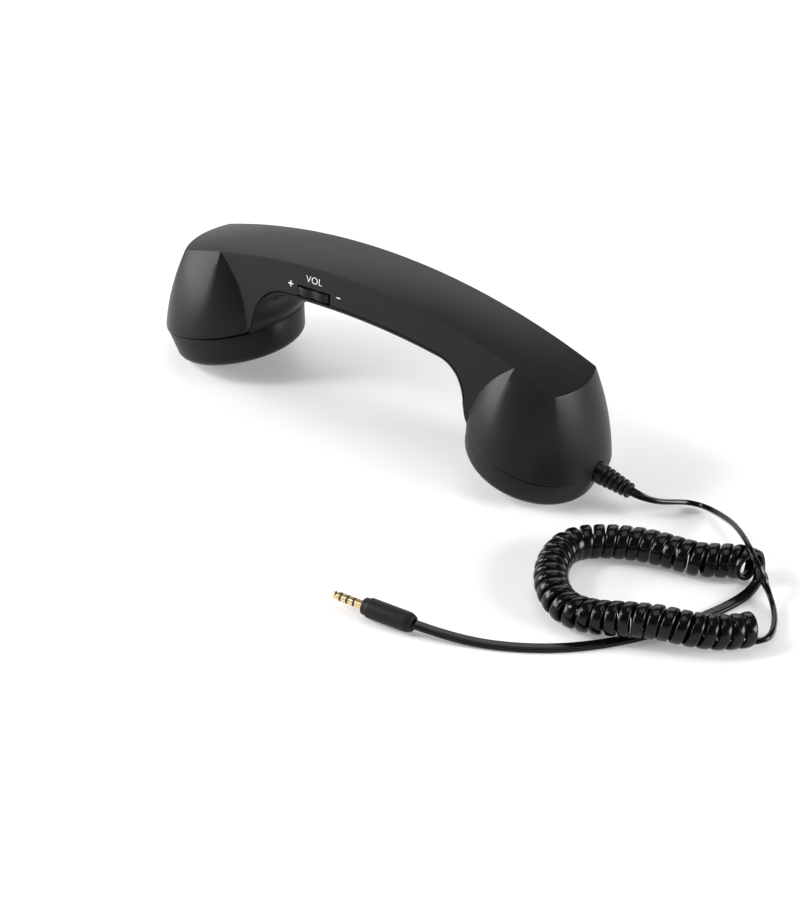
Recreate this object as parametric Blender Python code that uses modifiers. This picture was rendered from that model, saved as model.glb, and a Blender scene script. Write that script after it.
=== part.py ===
"""A wired telephone handset: an arched handle between two round cups, moulded as two shells, with its
receiver, microphone, volume rocker, call button, curly cord and jack plug. Metres, +Z up. It rests on
the rims of its cups at z = 0, with the receiver towards -X, the cord towards +X and the rocker at -Y."""

from math import atan2, cos, hypot, pi, radians, sin, sqrt

import bmesh
import bpy
import numpy as np
from mathutils import Matrix, Vector

# Clearances
GAP = 0.0003
FINE_GAP = 0.0001
WALL = 0.0020
CUT_PAST = 0.0090

# Handle: an arched top face, drafted side walls and a rounded inner strip
TOP_Z = 0.0662
TOP_RADIUS = 0.262
TOP_CROWN = 0.0011
TOP_WIDTH = 0.0283
END_FLARE = 0.0005
FLARE_X = 0.0900
SIDE_DRAFT = 0.16
SIDE_HEIGHT = 0.0134
PART_RADIUS = 0.294
PART_FILLET = 0.0168
PART_X = 0.0524
GRIP_BULGE = 0.0044

# Cups: a round seam that lofts up to a near-square end of the top face
CUP_X = 0.0762
CUP_RADIUS = 0.0298
CUP_TILT = radians(16.0)
CORNER_X = 0.0910
END_X = 0.0948
APEX_X = 0.0723
INNER_X = 0.0640
CUP_DRAFT = 0.3
TIP_PAST = 0.0004

# Caps: what lies below the seam, in the front shell
CAP_LEDGE = 0.0008
CAP_DEPTH = 0.0145
CAP_TAPER = 0.0016
CAP_ROUND = 0.0045
CAP_SIDES = 44
CAP_RING = 0.0032
PLATE_THICK = 0.0012
PLATE_SET_IN = 0.0004
PLATE_DISH = 0.0005
PLATE_LEDGE = 0.0018
HOLE_RADIUS = 0.0009
EAR_RINGS = ((1, 0.0), (6, 0.0042), (12, 0.0084))
MOUTH_RINGS = ((1, 0.0), (6, 0.0034))

# Receiver and microphone
GASKET_WIDE = 0.0047
GASKET_THICK = 0.0007
RECEIVER_ROOM = 0.0010
RECEIVER_THICK = 0.0024
MAGNET_RADIUS = 0.0095
MAGNET_THICK = 0.0030
BOOT_RADIUS = 0.0068
BOOT_LENGTH = 0.0052
CAPSULE_RADIUS = 0.0048
CAPSULE_LENGTH = 0.0036

# Volume rocker, on the near side wall
ROCKER_X = -0.0236
ROCKER_LENGTH = 0.0152
ROCKER_HEIGHT = 0.0033
ROCKER_THICK = 0.0020
ROCKER_BUMP = 0.0009
ROCKER_PROUD = 0.0002
SLOT_DEPTH = 0.0060
PIN_RADIUS = 0.0006
PIN_BACK = 0.0030
PIN_REACH = 0.0018
HOLDER_HEIGHT = 0.0030
LUG_WIDTH = 0.0030
SWITCH_SPREAD = 0.0052
SWITCH_SIZE = 0.0030
SWITCH_THICK = 0.0014
PLUNGER_RADIUS = 0.0007
PLUNGER_LENGTH = 0.0008
PLUNGER_GAP = 0.0008
BOARD_THICK = 0.0010
BOARD_LENGTH = 0.0190

# Call button, in the middle of the inner strip
BUTTON_LENGTH = 0.0140
BUTTON_WIDTH = 0.0064
BUTTON_PROUD = 0.0005
BUTTON_FLANGE = 0.0011
FLANGE_THICK = 0.0008
BUTTON_TRAVEL = 0.0005
CALL_BOARD_LENGTH = 0.0150
CALL_BOARD_WIDTH = 0.0090

# Screws
SCREW_X = 0.0340
SCREW_RADIUS = 0.0011
SCREW_LENGTH = 0.0090
HEAD_RADIUS = 0.0020
HEAD_THICK = 0.0010
HEAD_SET_IN = 0.0012
BOSS_RADIUS = 0.0032

# Strain relief
RELIEF_ABOVE_SEAM = 0.0016
RELIEF_TILT = radians(10.0)
RELIEF_BASE = 0.0042
RELIEF_TIP = 0.0028
RELIEF_LENGTH = 0.0158
RELIEF_RIBS = 5
RELIEF_GROOVE = 0.0008
RELIEF_COLLAR = 0.0024
FLANGE_RADIUS = 0.0054
FLANGE_IN = 0.0017
FLANGE_WIDE = 0.0013

# Cord and plug
CORD_RADIUS = 0.0013
CURL_RADIUS = 0.0066
PLUG_RADIUS = 0.0039
PLUG_LENGTH = 0.0163
PLUG_COLLAR = 0.0024
PLUG_NECK = 0.0026
JACK_RADIUS = 0.00175
JACK_LENGTH = 0.0140
RING_LENGTH = 0.0020
BAND_LENGTH = 0.0007
WIRE_DROP = 0.0037
SLEEVE_LENGTH = 0.0032

# Points of the cord's route, chosen by hand: along the table, with the curl's hump over the tail
LEAD_ROUTE = (
    (0.1243, 0.0052, 0.0078), (0.1270, 0.0092, 0.0052), (0.1293, 0.0136, 0.0034), (0.1317, 0.0174, 0.0023),
    (0.1344, 0.0192, 0.0018), (0.1379, 0.0192, 0.0022), (0.1420, 0.0175, 0.0031), (0.1460, 0.0152, 0.0043),
    (0.1508, 0.0122, 0.0059), (0.1553, 0.0090, 0.0077), (0.1597, 0.0055, 0.0096), (0.1640, 0.0020, 0.0115),
    (0.1684, -0.0018, 0.0134), (0.1735, -0.0060, 0.0149), (0.1786, -0.0098, 0.0154), (0.1824, -0.0120, 0.0135),
    (0.1850, -0.0130, 0.0098), (0.1876, -0.0140, 0.0063), (0.1905, -0.0157, 0.0036), (0.1938, -0.0188, 0.0020),
    (0.1974, -0.0232, 0.0016), (0.2003, -0.0277, 0.0016), (0.2016, -0.0325, 0.0018),
)
CURL_ROUTE = (
    (0.2013, -0.0386, 0.0068), (0.1995, -0.0421, 0.0068), (0.1966, -0.0468, 0.0070), (0.1918, -0.0530, 0.0078),
    (0.1864, -0.0580, 0.0090), (0.1803, -0.0620, 0.0102), (0.1736, -0.0650, 0.0108),
    (0.1669, -0.0680, 0.0106), (0.1599, -0.0706, 0.0096), (0.1528, -0.0728, 0.0082), (0.1450, -0.0741, 0.0072),
    (0.1378, -0.0732, 0.0068), (0.1322, -0.0702, 0.0068), (0.1277, -0.0664, 0.0068), (0.1240, -0.0620, 0.0068),
    (0.1209, -0.0568, 0.0068), (0.1184, -0.0500, 0.0068), (0.1176, -0.0424, 0.0068), (0.1200, -0.0357, 0.0068),
    (0.1252, -0.0303, 0.0068), (0.1313, -0.0260, 0.0068), (0.1382, -0.0226, 0.0068), (0.1456, -0.0203, 0.0068),
    (0.1530, -0.0189, 0.0068), (0.1602, -0.0178, 0.0068), (0.1660, -0.0163, 0.0068), (0.1704, -0.0145, 0.0069),
    (0.1740, -0.0132, 0.0073), (0.1772, -0.0129, 0.0079),
)
TAIL_ROUTE = (
    (0.1794, -0.0096, 0.0103), (0.1795, -0.0055, 0.0098), (0.1801, -0.0018, 0.0078), (0.1811, -0.0004, 0.0048),
    (0.1821, -0.0022, 0.0026), (0.1828, -0.0060, 0.0016), (0.1834, -0.0111, 0.0015), (0.1835, -0.0167, 0.0015),
    (0.1830, -0.0215, 0.0015), (0.1820, -0.0268, 0.0015), (0.1808, -0.0318, 0.0015), (0.1791, -0.0369, 0.0015),
    (0.1771, -0.0424, 0.0015), (0.1743, -0.0490, 0.0015), (0.1706, -0.0565, 0.0015),
    (0.1665, -0.0640, 0.0015), (0.1622, -0.0710, 0.0015), (0.1573, -0.0780, 0.0015), (0.1520, -0.0842, 0.0015),
    (0.1472, -0.0890, 0.0015), (0.1416, -0.0937, 0.0015), (0.1357, -0.0979, 0.0015), (0.1295, -0.1017, 0.0015),
    (0.1229, -0.1052, 0.0016), (0.1155, -0.1083, 0.0020), (0.1090, -0.1108, 0.0029),
)
PLUG_BACK = Vector((0.0987, -0.1139, 0.0042))
PLUG_TURN = radians(185.4)
CORD_SEAT = 0.0007

# What follows from the sizes above
CAP_RADIUS = CUP_RADIUS - CAP_LEDGE
CAP_LOW_RADIUS = CAP_RADIUS - CAP_TAPER
CAP_STRAIGHT = CAP_DEPTH - CAP_ROUND
PLATE_RADIUS = CAP_LOW_RADIUS - CAP_ROUND - CAP_RING
RECEIVER_RADIUS = PLATE_RADIUS + GAP - PLATE_LEDGE - RECEIVER_ROOM
PART_Z = TOP_Z - SIDE_HEIGHT
SEAM_Z = CAP_STRAIGHT * cos(CUP_TILT) + (CAP_LOW_RADIUS - CAP_ROUND) * sin(CUP_TILT) + CAP_ROUND
FILLET_X = PART_X - PART_FILLET
FILLET_ANGLE = atan2(FILLET_X, sqrt((PART_RADIUS - PART_FILLET) ** 2 - FILLET_X**2))
FILLET_Z = PART_Z - PART_RADIUS + (PART_RADIUS - PART_FILLET) * cos(FILLET_ANGLE)


def clear_scene():
    for thing in list(bpy.data.objects):
        bpy.data.objects.remove(thing, do_unlink=True)


def new_collection(name, shown):
    made = bpy.data.collections.new(name)
    bpy.context.scene.collection.children.link(made)
    made.hide_render = not shown
    return made


clear_scene()
PARTS = new_collection("telephone_handset", True)
CUTTERS = new_collection("cutters", False)


def material(name, colour, roughness, metallic=0.0):
    made = bpy.data.materials.new(name)
    made.use_nodes = True
    shader = made.node_tree.nodes["Principled BSDF"]
    shader.inputs["Base Color"].default_value = (*colour, 1.0)
    shader.inputs["Roughness"].default_value = roughness
    shader.inputs["Metallic"].default_value = metallic
    return made


SOFT_BLACK = material("soft_touch_black", (0.045, 0.045, 0.047), 0.55)
GLOSS_BLACK = material("gloss_black", (0.012, 0.012, 0.013), 0.18)
RUBBER = material("black_rubber", (0.020, 0.020, 0.020), 0.60)
FOAM = material("grey_foam", (0.10, 0.10, 0.10), 0.95)
STEEL = material("steel", (0.55, 0.55, 0.56), 0.30, 1.0)
GOLD = material("gold_plate", (0.83, 0.62, 0.30), 0.22, 1.0)
BOARD_GREEN = material("circuit_board", (0.03, 0.16, 0.07), 0.45)
WHITE = material("white_insulator", (0.70, 0.70, 0.68), 0.40)


# Building blocks


def add_object(name, mesh, look, matrix=Matrix.Identity(4), cutter=False):
    made = bpy.data.objects.new(name, mesh)
    made.matrix_world = matrix
    (CUTTERS if cutter else PARTS).objects.link(made)
    if look:
        mesh.materials.append(look)
    if cutter:
        made.hide_render = True
        made.display_type = "WIRE"
    return made


def mesh_of(bm):
    bmesh.ops.recalc_face_normals(bm, faces=bm.faces)
    mesh = bpy.data.meshes.new("mesh")
    bm.to_mesh(mesh)
    bm.free()
    return mesh


def loft(sections, fans=True):
    """A closed mesh through loops of equal length. An end is a fan round its middle, or one flat face."""
    bm = bmesh.new()
    loops = [[bm.verts.new(point) for point in section] for section in sections]
    count = len(loops[0])
    for first, second in zip(loops, loops[1:]):
        for i in range(count):
            j = (i + 1) % count
            bm.faces.new((first[i], first[j], second[j], second[i]))
    for loop in (loops[0], loops[-1]):
        if not fans:
            bm.faces.new(loop)
            continue
        middle = bm.verts.new(sum((vert.co for vert in loop), Vector()) / count)
        for i in range(count):
            bm.faces.new((loop[i], loop[(i + 1) % count], middle))
    return mesh_of(bm)


def prism(outline, low, high, across=False):
    """An outline in XY between two heights or, across, an outline in XZ between two Y values."""
    turn = (lambda a, b, h: (a, h, b)) if across else (lambda a, b, h: (a, b, h))
    bm = bmesh.new()
    face = bm.faces.new([bm.verts.new(turn(a, b, low)) for a, b in outline])
    grown = bmesh.ops.extrude_face_region(bm, geom=[face])["geom"]
    moved = [item for item in grown if isinstance(item, bmesh.types.BMVert)]
    bmesh.ops.translate(bm, verts=moved, vec=Vector(turn(0, 0, high - low)))
    return mesh_of(bm)


def box(low, high):
    bm = bmesh.new()
    middle = (Vector(low) + Vector(high)) / 2
    size = Vector(high) - Vector(low)
    bmesh.ops.create_cube(bm, matrix=Matrix.Translation(middle) @ Matrix.Diagonal((*size, 1.0)))
    return mesh_of(bm)


def cylinder(radius, low, high, sides=24):
    bm = bmesh.new()
    bmesh.ops.create_cone(
        bm, cap_ends=True, segments=sides, radius1=radius, radius2=radius, depth=high - low,
        matrix=Matrix.Translation((0, 0, (low + high) / 2)),
    )
    return mesh_of(bm)


def turned(name, profile, look, matrix=Matrix.Identity(4), closed=False, sides=28, cutter=False):
    """A profile of (radius, height) turned about Z. It runs down the outer side, top to bottom."""
    edges = [(i, i + 1) for i in range(len(profile) - 1)]
    if closed:
        edges.append((len(profile) - 1, 0))
    mesh = bpy.data.meshes.new(name)
    mesh.from_pydata([(radius, 0, height) for radius, height in profile], edges, [])
    made = add_object(name, mesh, look, matrix, cutter)
    screw = made.modifiers.new("turn", "SCREW")
    screw.steps = screw.render_steps = sides
    screw.use_merge_vertices = True
    screw.merge_threshold = 0.000001
    return made


def disc_profile(radius, low, high):
    return [(0, high), (radius, high), (radius, low), (0, low)]


def ring_profile(bore, radius, low, high):
    return [(bore, high), (radius, high), (radius, low), (bore, low)]


def boolean(target, operation, mesh_or_object, matrix=Matrix.Identity(4)):
    other = mesh_or_object
    if isinstance(other, bpy.types.Mesh):
        other = add_object(target.name + "_tool", other, None, matrix, cutter=True)
    modifier = target.modifiers.new(operation.lower(), "BOOLEAN")
    modifier.operation = operation
    modifier.object = other
    return modifier


def mirror_lengthwise(target):
    mirror = target.modifiers.new("both_ends", "MIRROR")
    mirror.use_axis[0] = True
    mirror.use_bisect_axis[0] = True
    mirror.use_bisect_flip_axis[0] = False
    mirror.merge_threshold = 0.00001


def smooth(made, angle=radians(35)):
    made.data.shade_smooth()
    made.data.set_sharp_from_angle(angle=angle)


def stadium(length, width, steps=8):
    """A round-ended outline along X."""
    radius = width / 2
    reach = length / 2 - radius
    turns = [pi * i / steps - pi / 2 for i in range(steps + 1)]
    right = [(reach + radius * cos(a), radius * sin(a)) for a in turns]
    return right + [(-x, -y) for x, y in right]


def cup_frame(side):
    """The frame of a cup: its origin in the middle of the seam, X outwards along it, Z up its axis."""
    turn = Matrix.Rotation(CUP_TILT, 4, "Y") if side > 0 else Matrix.Rotation(pi, 4, "Z") @ Matrix.Rotation(CUP_TILT, 4, "Y")
    return Matrix.Translation((side * CUP_X, 0, SEAM_Z)) @ turn


# The handle's surfaces


def edge_z(x):
    return TOP_Z - TOP_RADIUS + sqrt(TOP_RADIUS**2 - x**2)


def top_half_width(x):
    return TOP_WIDTH / 2 + END_FLARE * (x / FLARE_X) ** 2


def top_z(x, y):
    return edge_z(x) + TOP_CROWN * (1 - (y / top_half_width(x)) ** 2)


def wall_y(x, z):
    """How far the drafted side wall stands from the middle at a height."""
    return top_half_width(x) + SIDE_DRAFT * (edge_z(x) - z)


def part_z(x):
    """The parting line's height over the middle of the handle."""
    return PART_Z - PART_RADIUS + sqrt(PART_RADIUS**2 - x**2)


def seam_chord():
    """How far from a cup's axis, towards the handle's middle, the side wall passes over the seam's circle."""
    near, far = 0.0, CUP_RADIUS
    for _ in range(40):
        chord = (near + far) / 2
        wall = wall_y(CUP_X - chord * cos(CUP_TILT), SEAM_Z + chord * sin(CUP_TILT))
        if sqrt(CUP_RADIUS**2 - chord**2) > wall:
            near = chord
        else:
            far = chord
    return chord


TIP_CHORD = seam_chord() + TIP_PAST
TIP_X = CUP_X - TIP_CHORD * cos(CUP_TILT)
TIP_Z = SEAM_Z + TIP_CHORD * sin(CUP_TILT)
REACH_X = CUP_X + CUP_RADIUS + CUT_PAST


def parting_path(arc_steps=5, fillet_steps=7, tip_steps=3):
    """The parting line from the middle of the handle to the mouth cup's seam: (x, z, lean) each."""
    path = []
    for i in range(arc_steps):
        lean = FILLET_ANGLE * i / arc_steps
        path.append((PART_RADIUS * sin(lean), PART_Z - PART_RADIUS + PART_RADIUS * cos(lean), lean))
    for i in range(fillet_steps + 1):
        lean = FILLET_ANGLE + (pi / 2 - FILLET_ANGLE) * i / fillet_steps
        path.append((FILLET_X + PART_FILLET * sin(lean), FILLET_Z + PART_FILLET * cos(lean), lean))
    for i in range(1, tip_steps + 1):
        share = i / tip_steps
        x = PART_X + (TIP_X - PART_X) * share**2
        path.append((x, FILLET_Z + (TIP_Z - FILLET_Z) * share, pi / 2 + CUP_TILT * share))
    return path


def handle_block(inset, low, high_extra, start, end, steps=13):
    """The handle from its middle to inside the cup, with walls set in and its top raised or lowered."""
    sections = []
    for i in range(steps + 1):
        x = start + (end - start) * i / steps
        high = edge_z(x) + high_extra
        wide_low = wall_y(x, low) - inset
        wide_high = wall_y(x, high) - inset
        sections.append(((x, -wide_low, low), (x, wide_low, low), (x, wide_high, high), (x, -wide_high, high)))
    return loft(sections)


def top_block(lowered, start=-0.006, steps=24, half=5):
    """All that lies under the arched, crowned top face, lowered by a wall."""
    sections = []
    reach = CUP_RADIUS + 0.0022
    for i in range(steps + 1):
        x = start + (REACH_X - start) * i / steps
        across = [reach * (2 * j / (2 * half) - 1) for j in range(2 * half + 1)]
        curve = [(x, y, top_z(x, y) - lowered) for y in across]
        sections.append(curve + [(x, reach, -0.010), (x, -reach, -0.010)])
    return loft(sections)


# The cup's loft


def cup_top_outline(inset):
    """The square end's outline on the top face, (angle, x, y): end arc, near side, inner arc, far side."""
    corner_x, end_x = CORNER_X - inset, END_X - inset
    proud = FINE_GAP
    corner_y = top_half_width(corner_x) - inset + proud
    apex_y = top_half_width(APEX_X) - inset + proud
    corner_angle = atan2(corner_y, corner_x - CUP_X)
    apex_angle = atan2(apex_y, APEX_X - CUP_X)
    half = []
    for i in range(6):
        share = i / 6
        half.append((corner_angle * share, end_x - (end_x - corner_x) * share**2, corner_y * share))
    for i in range(6):
        share = i / 6
        angle = corner_angle + (apex_angle - corner_angle) * share
        half.append((angle, corner_x + (APEX_X - corner_x) * share, corner_y + (apex_y - corner_y) * share))
    for i in range(9):
        share = 1 - i / 8
        angle = pi - (pi - apex_angle) * share
        half.append((angle, INNER_X + (APEX_X - INNER_X) * share**2, apex_y * share))
    far = [(-angle, x, -y) for angle, x, y in reversed(half[1:-1])]
    return half + far


def cup_loft(inset, low, high):
    """Sections from the round seam to the square end. The share of square rises with height, slowly at
    the seam and fast at the top, so the sides stand nearly upright at the seam."""
    outline = cup_top_outline(inset)
    radius = CUP_RADIUS - inset
    levels = [low, 0.0, 0.2, 0.4, 0.6, 0.8, high] if inset else [low, 0.0, 0.15, 0.3, 0.45, 0.6, 0.75, 0.9, high]
    sections = []
    for level in levels:
        square = CUP_DRAFT * level + (1 - CUP_DRAFT) * level**2 if level > 0 else 0.0
        section = []
        for angle, x, y in outline:
            seam = Vector((CUP_X + radius * cos(angle) * cos(CUP_TILT), radius * sin(angle),
                           SEAM_Z - radius * cos(angle) * sin(CUP_TILT)))
            end = Vector((x, y, top_z(x, y) - inset))
            point = seam.lerp(end, square)
            point.z = seam.z + (end.z - seam.z) * level
            section.append(point)
        sections.append(section)
    return loft(sections)


def parting_outline(offset, reach_x, far_z):
    """The region on the far side of the parting line, moved by an offset away from it."""
    line = []
    for x, z, lean in parting_path():
        line.append((x + offset * sin(lean), z + offset * cos(lean)))
    seam_end_z = SEAM_Z - (reach_x - CUP_X) * sin(CUP_TILT) / cos(CUP_TILT) + offset / cos(CUP_TILT)
    tip = line[-1]
    line[-1] = (tip[0], SEAM_Z - (tip[0] - CUP_X) * sin(CUP_TILT) / cos(CUP_TILT) + offset / cos(CUP_TILT))
    start = [(-0.006, PART_Z + offset)]
    return start + line + [(reach_x, seam_end_z), (reach_x, far_z), (-0.006, far_z)]


# Frames of the rocker and of the strain relief


def rocker_frame():
    """Origin on the side wall in the middle of the slot, X along the slot, Y inwards, Z up the wall."""
    slope = -ROCKER_X / PART_RADIUS
    along = Vector((cos(slope), 0, sin(slope)))
    up = Vector((0, SIDE_DRAFT, 1)).normalized()
    up = (up - along * up.dot(along)).normalized()
    inward = up.cross(along)
    middle_z = part_z(ROCKER_X) + GAP * 1.5 + ROCKER_HEIGHT / 2
    origin = Vector((ROCKER_X, -wall_y(ROCKER_X, middle_z), middle_z))
    return Matrix.Translation(origin) @ Matrix((along, inward, up)).transposed().to_4x4()


def relief_frame():
    """Origin where the relief leaves the mouth cup, Z outwards along it."""
    seam = cup_frame(1) @ Vector((CUP_RADIUS, 0, RELIEF_ABOVE_SEAM))
    return Matrix.Translation(seam) @ Matrix.Rotation(pi / 2 + RELIEF_TILT, 4, "Y")


# Shells


def build_back_shell():
    shell = add_object("back_shell", cup_loft(0.0, -0.30, 1.10), SOFT_BLACK)
    boolean(shell, "UNION", handle_block(0.0, SEAM_Z - 0.0024, 0.004, -0.006, CUP_X + 0.0018))
    boolean(shell, "INTERSECT", top_block(0.0))
    half = CUP_RADIUS + CUT_PAST
    region = parting_outline(GAP / 2, REACH_X, TOP_Z + CUT_PAST)
    boolean(shell, "INTERSECT", prism(region, -half, half, across=True))
    boolean(shell, "DIFFERENCE", cup_loft(WALL, -0.35, 1.0))
    boolean(shell, "DIFFERENCE", handle_block(WALL, SEAM_Z - 0.0054, -WALL, -0.007, CUP_X + 0.0038))
    mirror_lengthwise(shell)
    boolean(shell, "DIFFERENCE", slot_block(), rocker_frame())
    boolean(shell, "DIFFERENCE", cylinder(RELIEF_BASE + GAP, -0.008, 0.006), relief_frame())
    for side in (-1, 1):
        place = Matrix.Translation((side * SCREW_X, 0, 0))
        low = part_z(SCREW_X) + GAP / 2
        boolean(shell, "UNION", cylinder(BOSS_RADIUS, low, edge_z(SCREW_X) - WALL / 2, 20), place)
        boolean(shell, "DIFFERENCE", cylinder(SCREW_RADIUS + GAP, low - 0.002, low + SCREW_LENGTH, 16), place)
    for mesh, place in board_posts():
        boolean(shell, "UNION", mesh, place)
    bore = Matrix.Translation((0, PIN_BACK, 0))
    boolean(shell, "DIFFERENCE", cylinder(PIN_RADIUS + FINE_GAP, 0, ROCKER_HEIGHT / 2 + PIN_REACH + GAP, 16),
            rocker_frame() @ bore)
    smooth(shell)
    return shell


def slot_block():
    half = ROCKER_LENGTH / 2 + GAP
    return box((-half, -0.004, -ROCKER_HEIGHT / 2 - 0.006), (half, SLOT_DEPTH, ROCKER_HEIGHT / 2 + GAP))


def strip_half():
    """The grip's inner strip: a channel that bulges below the parting line and runs into the cap."""
    sections = []
    path = parting_path()
    count = len(path)
    across = [-1, -0.96, -0.86, -0.67, -0.37, 0, 0.37, 0.67, 0.86, 0.96, 1]
    chord_width = sqrt(CAP_RADIUS**2 - TIP_CHORD**2)
    for i in range(-1, count + 1):
        x, z, lean = path[min(max(i, 0), count - 1)]
        width = wall_y(x, z) - FINE_GAP
        share = max(0.0, (lean - pi / 4) / (pi / 4 + CUP_TILT)) ** 1.5
        width += (chord_width - width) * share
        sag = CAP_RADIUS - sqrt(CAP_RADIUS**2 - width**2)
        drop = WALL
        if i < 0:
            x = -0.006
        if i == count:
            x -= (drop + 0.0008) * sin(CUP_TILT)
            z -= (drop + 0.0008) * cos(CUP_TILT)
        squeeze = 0.0006 if i == count else 0.0
        outer, inner = [], []
        for v in across:
            flat = 0.0010 + (GRIP_BULGE - 0.0010) * sqrt(1 - v**4)
            thin = 0.0004 + (GRIP_BULGE - WALL - 0.0004) * sqrt(1 - v**4)
            round_out = sqrt(CAP_RADIUS**2 - (width * v) ** 2) - CAP_RADIUS + sag
            round_in = sqrt((CAP_RADIUS - WALL) ** 2 - ((width - WALL) * v) ** 2) - CAP_RADIUS + sag
            out = flat + (round_out - flat) * share - squeeze
            back = thin + (round_in - thin) * share
            outer.append((width * v * (1 - squeeze / width), max(out, GAP / 2 + FINE_GAP)))
            inner.append(((width - WALL) * v, max(back, GAP)))
        low_rim = GAP / 2
        loop = [(outer[0][0], low_rim)] + outer + [(outer[-1][0], low_rim)]
        loop += [(inner[-1][0], low_rim)] + inner[::-1] + [(inner[0][0], low_rim)]
        sections.append([(x - o * sin(lean), y, z - o * cos(lean)) for y, o in loop])
    return loft(sections, fans=False)


def cap_profile():
    """A cap's wall, round rim and plate recess, down the outside and back up the inside."""
    high = -GAP / 2
    arc = [(CAP_LOW_RADIUS - CAP_ROUND * (1 - cos(a)), -CAP_STRAIGHT - CAP_ROUND * sin(a))
           for a in (pi / 2 * i / 4 for i in range(5))]
    recess = -CAP_DEPTH + PLATE_SET_IN + PLATE_THICK + GAP
    recess_radius = PLATE_RADIUS + GAP
    bore = recess_radius - PLATE_LEDGE
    floor = recess + WALL
    inner = CAP_LOW_RADIUS - WALL
    return [(CAP_RADIUS, high)] + arc + [
        (recess_radius, -CAP_DEPTH), (recess_radius, recess), (bore, recess), (bore, floor),
        (inner - 0.003, floor), (inner, floor + 0.003), (CAP_RADIUS - WALL, high),
    ]


def build_front_shell():
    shell = add_object("front_shell", strip_half(), SOFT_BLACK)
    cap = turned("cap_tool", cap_profile(), None, cup_frame(1), closed=True, sides=CAP_SIDES, cutter=True)
    boolean(shell, "UNION", cap)
    mirror_lengthwise(shell)
    floor_z = PART_Z - GRIP_BULGE + WALL
    for side in (-1, 1):
        place = Matrix.Translation((side * SCREW_X, 0, 0))
        low, high = part_z(SCREW_X) - GRIP_BULGE, part_z(SCREW_X) - GAP / 2
        boolean(shell, "UNION", cylinder(BOSS_RADIUS, low + WALL / 2, high, 20), place)
        boolean(shell, "DIFFERENCE", cylinder(SCREW_RADIUS + GAP, low - 0.002, high + 0.002, 16), place)
        boolean(shell, "DIFFERENCE", cylinder(HEAD_RADIUS + GAP, low - 0.004, low + HEAD_SET_IN + HEAD_THICK, 20), place)
    opening = prism(stadium(BUTTON_LENGTH + 2 * GAP, BUTTON_WIDTH + 2 * GAP), floor_z - 0.008, floor_z + 0.004)
    boolean(shell, "DIFFERENCE", opening)
    boolean(shell, "DIFFERENCE", cylinder(RELIEF_BASE + GAP, -0.008, 0.006), relief_frame())
    smooth(shell)
    return shell


# Rocker and its board


def rocker_depths():
    """Depths behind the side wall: the rocker's back, the plungers' tips, the switches and the board."""
    back = -ROCKER_PROUD + ROCKER_THICK
    plunger = back + PLUNGER_GAP
    switch = plunger + PLUNGER_LENGTH
    board = switch + SWITCH_THICK + FINE_GAP
    return back, plunger, switch, board


def rocker_outline():
    """The rocker from above: a flat back and a front with two raised pads and a dip between them."""
    half = ROCKER_LENGTH / 2
    front = -ROCKER_PROUD
    steps = 24
    curve = []
    for i in range(steps + 1):
        x = -half + ROCKER_LENGTH * i / steps
        pads = sin(pi * abs(x) / half) ** 2
        curve.append((x, front - ROCKER_BUMP * pads))
    return curve + [(half, front + ROCKER_THICK), (-half, front + ROCKER_THICK)]


def build_rocker():
    frame = rocker_frame()
    half_high = ROCKER_HEIGHT / 2
    rocker = add_object("volume_rocker", prism(rocker_outline(), -half_high, half_high), SOFT_BLACK, frame)
    lug = box((-LUG_WIDTH / 2, 0.001, -half_high), (LUG_WIDTH / 2, PIN_BACK + LUG_WIDTH / 2, half_high))
    boolean(rocker, "UNION", lug, frame)
    bore = Matrix.Translation((0, PIN_BACK, 0))
    boolean(rocker, "DIFFERENCE", cylinder(PIN_RADIUS + FINE_GAP, -0.004, 0.004, 16), frame @ bore)
    smooth(rocker)
    pin = turned("rocker_pin", disc_profile(PIN_RADIUS, -half_high - FINE_GAP, half_high + PIN_REACH), STEEL,
                 frame @ bore, sides=16)
    smooth(pin)


def board_posts():
    """Posts from the ceiling that carry the rocker's pin, its board and the call button's board."""
    frame = rocker_frame()
    board_back = rocker_depths()[3] + BOARD_THICK
    low = ROCKER_HEIGHT / 2 + 2 * GAP
    top = edge_z(ROCKER_X) - frame.translation.z - WALL / 4
    posts = []
    holder = box((-0.0022, WALL / 2, low), (0.0022, PIN_BACK + 0.0018, low + HOLDER_HEIGHT))
    posts.append((holder, frame))
    for side in (-1, 1):
        x = side * (BOARD_LENGTH / 2 - 0.0015)
        post = box((x - 0.0012, board_back + GAP, -0.0015), (x + 0.0012, board_back + GAP + 0.0022, top))
        posts.append((post, frame))
        x = side * (CALL_BOARD_LENGTH / 2 - 0.0015)
        ceiling = edge_z(0) - WALL / 2
        posts.append((box((x - 0.0012, -0.0025, call_heights()[3] + GAP), (x + 0.0012, 0.0025, ceiling)),
                      Matrix.Identity(4)))
    return posts


def build_switch(name, frame):
    """A push switch whose body starts at the frame's origin and whose plunger stands along -Z of it."""
    body = box((-SWITCH_SIZE / 2, -SWITCH_SIZE / 2, 0), (SWITCH_SIZE / 2, SWITCH_SIZE / 2, SWITCH_THICK))
    switch = add_object(name, body, GLOSS_BLACK, frame)
    boolean(switch, "UNION", cylinder(PLUNGER_RADIUS, -PLUNGER_LENGTH, SWITCH_THICK / 2, 12), frame)
    return switch


def build_volume_board():
    frame = rocker_frame()
    back, plunger, switch, board = rocker_depths()
    half = ROCKER_HEIGHT / 2 + 0.0004
    mesh = box((-BOARD_LENGTH / 2, board, -half), (BOARD_LENGTH / 2, board + BOARD_THICK, half))
    add_object("volume_board", mesh, BOARD_GREEN, frame)
    for name, x in (("volume_up_switch", -SWITCH_SPREAD), ("volume_down_switch", SWITCH_SPREAD)):
        facing = Matrix.Translation((x, switch, 0)) @ Matrix.Rotation(-pi / 2, 4, "X")
        build_switch(name, frame @ facing)


# Call button and its board


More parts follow.
